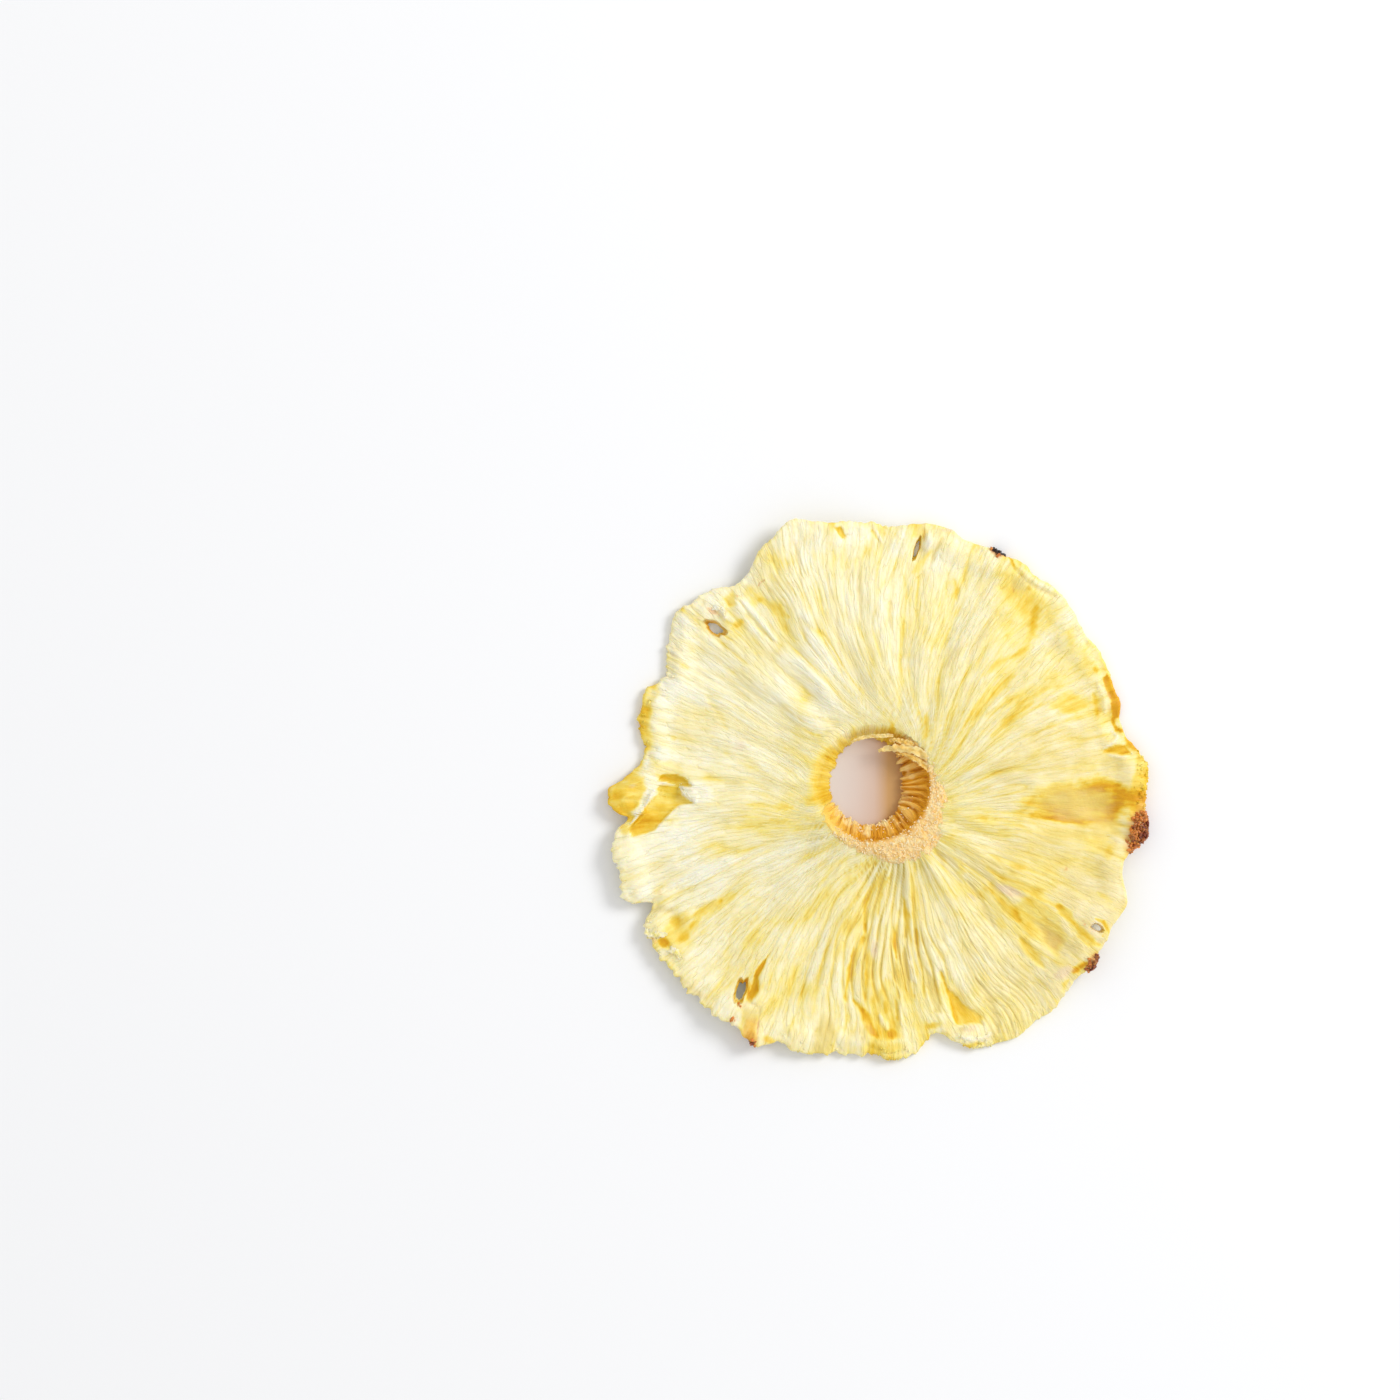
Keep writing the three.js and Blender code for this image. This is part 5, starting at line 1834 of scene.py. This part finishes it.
@dataclass(frozen=True)
class Core:
    """The hole's pleated wall and the granular collar round it, as one closed ring set into the flesh."""

    form: RingForm
    columns: int = 1000
    wall_rows: int = 44
    crown_rows: int = 30
    foot_rows: int = 5
    # Where the wall ends on the path round the section, and where the crown ends, counted in knots.
    wall_end: float = 3.0
    crown_end: float = 6.0
    path_end: float = 8.0
    pleat_counts: tuple = (40, 110)
    pleat_depth: tuple = (1.05, 0.26)
    pleat_sways: tuple = (Layer(5, 14, 2.4, 72), Layer(2.4, 44, 1.4, 83))
    gather: Layer = Layer(0.75, 19, 2.4, 75)
    foot_fray: tuple = (Layer(0.35, 60, 1, 79), Layer(0.2, 170, 1, 80))
    scallops: Layer = Layer(0.4, 64, 1, 71)
    frill: Layer = Layer(0.3, 34, 2, 81)
    fine_frill: Layer = Layer(1, 110, 0.7, 82)
    grain: float = 0.16
    grains: tuple = (Layer(1, 130, 0.6, 76), Layer(0.6, 260, 0.3, 77))
    roughness: Layer = Layer(0.35, 48, 1, 78)
    sunk: float = 0.5
    # Where the wall turns golden, and which side carries the lace and its crumbs.
    gold_wall: Sector = Sector(215, 46)
    gold_crown: Sector = Sector(45, 36, 0.6)
    low_side: float = 262.0

    def build(self, flesh: Flesh) -> bpy.types.Object:
        """Builds the ring.

        Args:
            flesh: The flesh that the collar's outer side runs into.

        Returns:
            The finished piece, without its material.
        """
        form = self.form
        angle = np.arange(self.columns) * 360.0 / self.columns
        ring, rim = form.collar(angle), flesh.rim(angle)
        wraps = form.wraps(angle)
        lean = facing(angle, form.shoulder_angle)
        knots = self._knots(angle, ring, rim, flesh)
        walls = np.linspace(0.0, self.wall_end, self.wall_rows, endpoint=False)
        crowns = np.linspace(self.wall_end, self.crown_end, self.crown_rows, endpoint=False)
        path = np.concatenate([walls, crowns, np.linspace(self.crown_end, self.path_end, self.foot_rows)])
        few, many = self.pleat_counts
        points, marks = [], []
        for t in path:
            radius, height = through(knots, t)
            wall, crown = bump((t - 1.4) / 1.9), bump((t - 4.4) / 1.9)
            swayed = heap(self.pleat_sways, angle, height, angle)
            pleat = smooth(strands(swayed, few, height, 3.0, 73) / 0.9)
            fine = strands(swayed, many, height, 1.5, 74)
            gather = 0.52 + self.gather.at(angle, height)
            rib = self.pleat_depth[0] * gather * (pleat - 0.45) + self.pleat_depth[1] * (fine - 0.4)
            edge = max(0.0, 1.0 - t) * heap(self.foot_fray, angle)
            frill = bump((t - 1.0) / 0.9) * smooth(lean * 2.0) * (0.16 + self.frill.at(angle, height))
            frill = frill + bump((t - 1.1) / 0.7) * lean * 0.16 * self.fine_frill.at(angle, height)
            radius = radius - wall * rib - edge - frill + self.sunk * wraps
            grains = heap(self.grains, angle, radius)
            height = height + self.grain * crown * (0.3 + 0.7 * lean) * grains - self.sunk * wraps
            low = 0.35 * wraps if t < self.path_end - 0.1 else np.zeros_like(angle)
            points.append(form.place(angle, radius, np.maximum(low, height)))
            rough = self.roughness.at(angle, radius)
            edging = smooth((1.5 + 2.4 * rough + 0.4 * (pleat - 0.5) - t) / 0.5)
            marks.append((t + rough, np.full_like(angle, crown), pleat * wall, edging))
        count = len(path)
        faces = quad_rows(0, count, self.columns)
        closing = quad_rows(0, 2, self.columns)
        last = (count - 1) * self.columns
        closing = np.where(closing >= self.columns, closing - self.columns, closing + last)
        faces = np.concatenate([faces, closing]).tolist()
        piece = link("core", inside_box(np.concatenate(points)), faces)
        at, _ = form.polar(places_of(piece.data))
        self._mark(piece.data, at, [np.concatenate(values) for values in zip(*marks)])
        return piece

    def _knots(self, angle: np.ndarray, ring: Collar, rim: Field, flesh: Flesh) -> list:
        """Returns the section's (radius, height) knots: up the wall, over the crown and down inside.

        Args:
            angle: The columns' angles.
            ring: The collar at those angles.
            rim: The distance to the rim there.
            flesh: The flesh that the crown runs into.

        Returns:
            The knots, each a pair of arrays.
        """
        lean = facing(angle, self.form.shoulder_angle)
        buried = ring.start + 0.35
        scallop = self.scallops.at(angle) * smooth(lean * 2.0)
        crown = ring.height - 0.25 * ring.proud - 0.1 * ring.slump + 0.05
        return [
            *self.form.wall(ring),
            (ring.shoulder + scallop, crown),
            (buried, flesh.top(angle, buried, rim, ring) - 0.75),
            (mix(buried, ring.heel, 0.6), np.full_like(angle, 0.55)),
            (ring.heel - 0.05, np.zeros_like(angle)),
        ]

    def _mark(self, mesh: bpy.types.Mesh, angle: np.ndarray, marks: list) -> None:
        """Writes the attributes that the material and the grains read.

        Args:
            mesh: The ring's mesh.
            angle: Each vertex's angle.
            marks: Each vertex's place on the path, and its shares of crown, pleat and lace.
        """
        path, crown, pleat, lace = marks
        lean = facing(angle, self.form.shoulder_angle)
        stamp_grain(mesh, angle, path * 4.0)
        shown = smooth((lean - 0.5) / 0.22)
        low = facing(angle, self.low_side) ** 3
        grains = shown * smooth((6.3 - path) / 0.4) * smooth((path - 2.55) / 0.7)
        crumbs = smooth((lean - 0.3) / 0.3) * smooth((1.9 - path) / 0.6) * smooth((path - 0.25) / 0.3)
        values = {
            "wall": smooth((3.5 - path) / 0.7),
            "pleat": pleat,
            "gold": self.gold_wall.at(angle) ** 0.6 + self.gold_crown.at(angle) * (path > 2.6),
            "lace": lace * smooth((lean - 0.34) / 0.2) * (0.5 + 0.5 * low),
            "grains": grains * (0.7 + 0.3 * crown),
            "crumbs": crumbs * low**2,
        }
        stamp(mesh, values)
        mesh.shade_smooth()


@dataclass(frozen=True)
class Flake:
    """A torn flap of skin: its middle line and widths. A point has an angle, a distance and maybe a lift."""

    line: tuple
    wide: float
    narrow: float
    ripe: float
    ruffle: float = 0.18
    curl: float = 0.25


HOLE_FLAKES = (
    Flake(((22, 10, 0.1), (34, 8.9, 0.1), (48, 7.2, -0.2), (60, 6.1, -0.5), (72, 5.2, -0.8)),
          0.75, 0.4, 0.35, 0.3),
    Flake(((12, 9.6, 0), (26, 8.3, -0.1), (38, 7.2, -0.4), (48, 6.4, -0.7)), 0.5, 0.3, 0.55, 0.25),
    Flake(((40, 9.2, 0.1), (52, 8.2, 0), (64, 7.4, -0.2)), 0.5, 0.35, 0.5, 0.2),
    Flake(((62, 8.3, 0), (78, 7.4, -0.2), (96, 7.1, -0.4), (112, 6.8, -0.5)), 0.35, 0.3, 0.3, 0.2),
)

FLAKES = (
    # The torn stretch at the lower left.
    Flake(((213.6, 41.6, 0.1), (215.6, 40.4, 0.25), (217.2, 38.8, 0.1)), 0.7, 0.35, 0.36, 0.14, 0.15),
    Flake(((219.4, 40.4, 0.1), (221.4, 39.6, 0.25), (223.6, 39.8, 0.1)), 0.6, 0.35, 0.4, 0.14, 0.15),
    # The hooked flake of the big cavity.
    Flake(((180.2, 29.1), (182.4, 28.7), (184.2, 27.9), (186.4, 27.3)), 0.4, 0.22, 0.2, 0.08, 0.1),
    # Beside the torn eye at the upper left.
    Flake(((132.0, 36.6, 0.1), (130.0, 35.4, 0.2), (130.4, 33.8, 0.1)), 0.5, 0.35, 0.22, 0.12, 0.12),
)


@dataclass(frozen=True)
class TornSkin:
    """The torn flaps of skin, each a thin crumpled closed sheet."""

    form: RingForm
    flesh: Flesh
    name: str
    flakes: tuple
    along: int = 84
    across: int = 13
    thickness: float = 0.14
    usual_lift: float = 0.15

    def build(self) -> bpy.types.Object:
        """Builds all the flaps as one piece.

        Returns:
            The piece, without its material.
        """
        points, faces, ripeness = [], [], []
        for number, flake in enumerate(self.flakes):
            points.append(self._sheet(flake, number))
            ripeness.append(flake.ripe + self._shade(number))
            faces += self._skin(number * len(points[0]))
        piece = link(self.name, inside_box(np.concatenate(points)), faces)
        mesh = piece.data
        angle, radius = self.form.polar(places_of(mesh))
        stamp_grain(mesh, angle, radius)
        nothing = np.zeros_like(angle)
        ripe = np.concatenate(ripeness)
        values = {"ripe": ripe, "tint": 1.6 * ripe - 0.1}
        values.update({tone.value: nothing for tone in (ROSE, DULL_AND_SHADE, BROWN)})
        stamp(mesh, {**values, "lively": nothing + 0.3})
        mesh.shade_smooth()
        return piece

    def _grid(self) -> tuple:
        """Returns how far along and across each point of a sheet lies, from 0 to 1 and -1 to 1."""
        u = np.repeat(np.linspace(0.0, 1.0, self.along), self.across)
        v = np.tile(np.linspace(-1.0, 1.0, self.across), self.along)
        return u, v

    def _shade(self, number: int) -> np.ndarray:
        """Returns how the ripeness varies over both sides of a sheet."""
        u, v = self._grid()
        shade = 0.2 * noise(u * 360.0, 13, v, 0.5, 90 + number) - 0.16 * np.abs(v) ** 3
        return np.concatenate([shade, shade])

    def _sheet(self, flake: Flake, number: int) -> np.ndarray:
        """Returns the points of a sheet's upper side and then of its lower side.

        Args:
            flake: The flap.
            number: Its number, which makes its noise its own.

        Returns:
            One row for each point.
        """
        u, v = self._grid()
        line = np.array([(*spot, self.usual_lift)[:3] for spot in flake.line])
        at = np.linspace(0.0, 1.0, len(line))

        def follow(share: np.ndarray) -> list:
            """Returns the middle line's angle, distance and lift at a share of its length."""
            return [np.interp(share, at, line[:, axis]) for axis in range(3)]

        angle, radius, lift = follow(u)
        middle = self.form.place(angle, radius, 0.0)
        ahead, behind = follow(np.minimum(1.0, u + 0.02)), follow(np.maximum(0.0, u - 0.02))
        course = self.form.place(*ahead[:2], 0.0) - self.form.place(*behind[:2], 0.0)
        course /= np.linalg.norm(course, axis=1, keepdims=True)
        side = np.stack([-course[:, 1], course[:, 0], np.zeros_like(u)], 1)
        taper = 0.25 + 0.75 * np.sin(np.pi * np.clip(u * 0.9 + 0.05, 0, 1)) ** 0.5
        width = mix(flake.wide, flake.narrow, u) * taper
        run = u * 360.0
        ragged = (Layer(0.34, 15, 0.7, 100 + number), Layer(0.3, 37, 0.6, 130 + number))
        ruffles = (Layer(flake.ruffle, 11, 0.9, 160 + number), Layer(0.07, 31, 0.4, 190 + number))
        places = middle + side * (v * width * heap(ragged, run, v, 1.0))[:, None]
        spot, out = self.form.polar(places)
        ring, rim = self.form.collar(spot), self.flesh.rim(spot)
        base = self.flesh.top(spot, np.maximum(out, ring.shoulder), rim, ring)
        ruffle = heap(ruffles, run, v)
        rise = flake.curl * np.sin(np.pi * u) * (0.4 - 0.6 * v)
        top = base + lift + ruffle + rise - 0.22 * (1.0 - np.sin(np.pi * np.clip(u * 0.96 + 0.02, 0, 1)))
        thick = self.thickness * (1.0 - 0.85 * np.abs(v) ** 4) * (0.1 + 0.9 * np.sin(np.pi * u) ** 0.3)
        upper, lower = places.copy(), places.copy()
        upper[:, 2], lower[:, 2] = top, top - np.maximum(0.02, thick)
        return np.concatenate([upper, lower])

    def _skin(self, start: int) -> list:
        """Returns the faces of a sheet, closed along its edge."""
        n, m = self.along, self.across
        faces = []
        under = start + n * m
        for i in range(n - 1):
            for j in range(m - 1):
                a, b = start + i * m + j, start + (i + 1) * m + j
                faces.append((a, b, b + 1, a + 1))
                faces.append(tuple(k + n * m for k in (a + 1, b + 1, b, a)))
        loop = [i * m for i in range(n)] + [(n - 1) * m + j for j in range(1, m)]
        loop += [i * m + m - 1 for i in range(n - 2, -1, -1)] + [j for j in range(m - 2, 0, -1)]
        for k, a in enumerate(loop):
            b = loop[(k + 1) % len(loop)]
            faces.append((start + b, start + a, under + a, under + b))
        return faces


@dataclass(frozen=True)
class Grains:
    """Small uneven grains, so many for each square millimetre where a piece's attribute says."""

    name: str
    where: str
    slot: str
    per_square: float
    smallest: float
    largest: float
    seed: int
    sides: int = 2
    knobbly: float = 0.3
    flattest: tuple = (0.65, 0.5, 0.4)
    fullest: tuple = (1.45, 1.0, 0.8)
    full_turn: float = 6.28

    def tree(self, material: bpy.types.Material) -> bpy.types.NodeTree:
        """Builds the tree that scatters the grains.

        Args:
            material: What the grains are made of.

        Returns:
            A tree with the inputs Geometry, Density, Smallest, Largest and Seed.
        """
        tree = bpy.data.node_groups.new(self.name, "GeometryNodeTree")
        tree.interface.new_socket("Geometry", in_out="INPUT", socket_type="NodeSocketGeometry")
        for name in ("Density", "Smallest", "Largest"):
            tree.interface.new_socket(name, in_out="INPUT", socket_type="NodeSocketFloat")
        tree.interface.new_socket("Seed", in_out="INPUT", socket_type="NodeSocketInt")
        tree.interface.new_socket("Geometry", in_out="OUTPUT", socket_type="NodeSocketGeometry")
        kit = NodeKit(tree)
        given = kit.add("NodeGroupInput").outputs
        here = kit.add("GeometryNodeInputNamedAttribute", {"Name": self.where}, data_type="FLOAT").outputs[0]
        density = kit.math("MULTIPLY", here, given["Density"])
        scatter = {"Mesh": given["Geometry"], "Density": density, "Seed": given["Seed"]}
        spots = kit.add("GeometryNodeDistributePointsOnFaces", scatter).outputs["Points"]
        ball = {"Radius": 1.0, "Subdivisions": self.sides}
        grain = kit.add("GeometryNodeMeshIcoSphere", ball).outputs["Mesh"]
        vector = {"data_type": "FLOAT_VECTOR"}
        number = {"data_type": "FLOAT"}
        turns = {0: (0.0, 0.0, 0.0), 1: (self.full_turn,) * 3}
        turn = kit.add("FunctionNodeRandomValue", turns, **vector).outputs[0]
        sizes = {2: given["Smallest"], 3: given["Largest"], "Seed": 3}
        size = kit.add("FunctionNodeRandomValue", sizes, **number).outputs[1]
        shapes = {0: self.flattest, 1: self.fullest, "Seed": 5}
        shape = kit.add("FunctionNodeRandomValue", shapes, **vector).outputs[0]
        scale = kit.add("ShaderNodeVectorMath", {0: shape, "Scale": size}, operation="SCALE").outputs[0]
        placed = {"Points": spots, "Instance": grain, "Rotation": turn, "Scale": scale}
        copies = kit.add("GeometryNodeInstanceOnPoints", placed).outputs[0]
        tint = kit.add("FunctionNodeRandomValue", {2: 0.0, 3: 1.0, "Seed": 7}, **number).outputs[1]
        tinted = {"Geometry": copies, "Name": "tint", "Value": tint}
        stored = kit.add("GeometryNodeStoreNamedAttribute", tinted, **number, domain="INSTANCE").outputs[0]
        real = kit.add("GeometryNodeRealizeInstances", {0: stored}).outputs[0]
        place = kit.add("GeometryNodeInputPosition").outputs[0]
        lumps = kit.add("ShaderNodeTexNoise", {"Vector": place, "Scale": 3200.0, "Detail": 1.0})
        centred = {0: lumps.outputs["Color"], 1: (0.5, 0.5, 0.5)}
        push = kit.add("ShaderNodeVectorMath", centred, operation="SUBTRACT").outputs[0]
        pushed = {0: push, "Scale": self.knobbly * MM}
        push = kit.add("ShaderNodeVectorMath", pushed, operation="SCALE").outputs[0]
        moved = kit.add("GeometryNodeSetPosition", {"Geometry": real, "Offset": push}).outputs[0]
        soft = kit.add("GeometryNodeSetShadeSmooth", {0: moved}).outputs[0]
        done = kit.add("GeometryNodeSetMaterial", {"Geometry": soft, "Material": material}).outputs[0]
        kit.add("NodeGroupOutput", {0: done})
        return tree

    def build(self, carrier: bpy.types.Object, material: bpy.types.Material) -> bpy.types.Object:
        """Scatters the grains.

        Args:
            carrier: The piece that they lie on.
            material: What they are made of.

        Returns:
            The grains as one plain mesh.
        """
        piece = bpy.data.objects.new(self.name, carrier.data)
        bpy.context.scene.collection.objects.link(piece)
        made = piece.modifiers.new(self.name, "NODES")
        made.node_group = self.tree(material)
        sizes = {
            "Density": self.per_square / MM**2,
            "Smallest": self.smallest * MM,
            "Largest": self.largest * MM,
            "Seed": self.seed,
        }
        for item in made.node_group.interface.items_tree:
            if item.in_out == "INPUT" and item.name in sizes:
                made[item.identifier] = sizes[item.name]
        settle(piece)
        mesh = piece.data
        places = inside_box(places_of(mesh))
        mesh.vertices.foreach_set("co", (places * MM).ravel())
        mesh.update()
        dress(piece, material)
        return piece


# ---- The studio ----


@dataclass(frozen=True)
class Studio:
    """A plain pale floor, soft light from the right, and a camera that looks straight down."""

    picture: int = 1400
    pixel: float = 0.155
    core_column: int = 868
    core_row: int = 783
    lens: float = 116.0
    sensor: float = 36.0
    # Metres: how far the camera sees, and half the floor's width.
    sight: float = 30.0
    floor_half: float = 9.0
    floor_drop: float = 0.02
    paper: tuple = (0.905, 0.92, 0.965, 1.0)
    # The floor inside the hole, from its open side to the side that the collar shades.
    shades: tuple = (
        (0.0, linear(220, 212, 212)),
        (0.35, linear(216, 200, 194)),
        (0.6, linear(211, 186, 172)),
        (0.8, linear(200, 158, 108)),
    )
    shade_reach: float = 5.5
    # Between these distances from the core's axis the shade fades.
    shade_inner: float = 7.5
    shade_outer: float = 10.5
    sky_colour: tuple = (1.0, 0.988, 0.955, 1.0)
    sky: float = 0.775
    key_colour: tuple = (1.0, 0.985, 0.95)
    key_power: float = 4.5
    # Metres, as the lamp's place is.
    key_size: float = 0.4
    key_place: tuple = (0.62, 0.34, 0.62)

    def build(self, form: RingForm) -> None:
        """Adds the floor, the lights and the camera."""
        self._floor(form)
        self._lights()
        self._camera(form)

    def _floor(self, form: RingForm) -> None:
        """Adds the floor, a little darker where the ring's hole shades it."""
        half, low = self.floor_half, -self.floor_drop * MM
        mesh = bpy.data.meshes.new("floor")
        corners = [(-half, -half, low), (half, -half, low), (half, half, low), (-half, half, low)]
        mesh.from_pydata(corners, [], [(0, 1, 2, 3)])
        floor = bpy.data.objects.new("floor", mesh)
        bpy.context.scene.collection.objects.link(floor)
        paper = bpy.data.materials.new("white_paper")
        paper.use_nodes = True
        shader = paper.node_tree.nodes["Principled BSDF"]
        kit = NodeKit(paper.node_tree)
        place = kit.add("ShaderNodeTexCoord").outputs["Object"]
        core = (form.core_x * MM, form.core_y * MM, 0.0)
        gap = kit.add("ShaderNodeVectorMath", {0: place, 1: core}, operation="DISTANCE").outputs["Value"]
        across = kit.add("ShaderNodeSeparateXYZ", {0: place}).outputs["X"]
        reach = self.shade_reach * MM
        across = kit.spread(across, form.core_x * MM - reach, form.core_x * MM + reach)
        shade = kit.ramp(across, self.shades)
        fade = kit.spread(gap, self.shade_inner * MM, self.shade_outer * MM)
        shade = kit.blend(fade, shade, self.paper)
        paper.node_tree.links.new(shade, shader.inputs["Base Color"])
        shader.inputs["Roughness"].default_value = 0.9
        shader.inputs["Specular IOR Level"].default_value = 0.1
        mesh.materials.append(paper)

    def _lights(self) -> None:
        """Adds the sky and the lamp."""
        scene = bpy.context.scene
        world = bpy.data.worlds.new("sky")
        world.use_nodes = True
        ground = world.node_tree.nodes["Background"]
        ground.inputs["Color"].default_value = self.sky_colour
        ground.inputs["Strength"].default_value = self.sky
        scene.world = world
        data = bpy.data.lights.new("key", "AREA")
        data.shape = "DISK"
        data.size = self.key_size
        data.energy = self.key_power
        data.color = self.key_colour
        lamp = bpy.data.objects.new("key", data)
        lamp.location = self.key_place
        lamp.rotation_euler = (-Vector(lamp.location)).to_track_quat("-Z", "Y").to_euler()
        scene.collection.objects.link(lamp)

    def _camera(self, form: RingForm) -> None:
        """Adds the camera, so that the ring keeps its place in the picture."""
        scene = bpy.context.scene
        middle = self.picture / 2
        x = form.core_x - (self.core_column - middle) * self.pixel
        y = form.core_y + (self.core_row - middle) * self.pixel
        distance = self.lens / self.sensor * self.picture * self.pixel
        data = bpy.data.cameras.new("camera")
        data.lens = self.lens
        data.sensor_width = self.sensor
        data.clip_end = self.sight
        camera = bpy.data.objects.new("camera", data)
        camera.location = (x * MM, y * MM, (distance + form.collar_height) * MM)
        scene.collection.objects.link(camera)
        scene.camera = camera
        scene.view_settings.view_transform = "Standard"


def main() -> None:
    """Builds the studio and each piece in order."""
    logging.basicConfig(level=logging.INFO, format="%(message)s")
    form = RingForm()
    Studio().build(form)
    streaks = streak_group()
    flesh = Flesh(form)
    body = flesh.build()
    pulp = FleshFinish().material(streaks)
    dress(body, pulp)
    core = Core(form).build(flesh)
    dress(core, CoreFinish().material(streaks))
    crumb = CORE_CRUMBS.material()
    Grains("core_grains", "grains", "core", 10.5, 0.1, 0.2, 11).build(core, crumb)
    Grains("core_lace", "crumbs", "core", 4.4, 0.09, 0.2, 14).build(core, crumb)
    dress(TornSkin(form, flesh, "torn_skin", FLAKES).build(), pulp)
    dress(TornSkin(form, flesh, "hole_flaps", HOLE_FLAKES).build(), MEMBRANE.material())
    Grains("rim_crumbs", "crumbs", "flesh", 3.6, 0.1, 0.3, 12, knobbly=0.5).build(body, pulp)
    burnt = GRIT.material()
    Grains("browned_grains", "grit", "browned", 8.0, 0.16, 0.46, 13, knobbly=0.62).build(body, burnt)


if __name__ == "__main__":
    main()
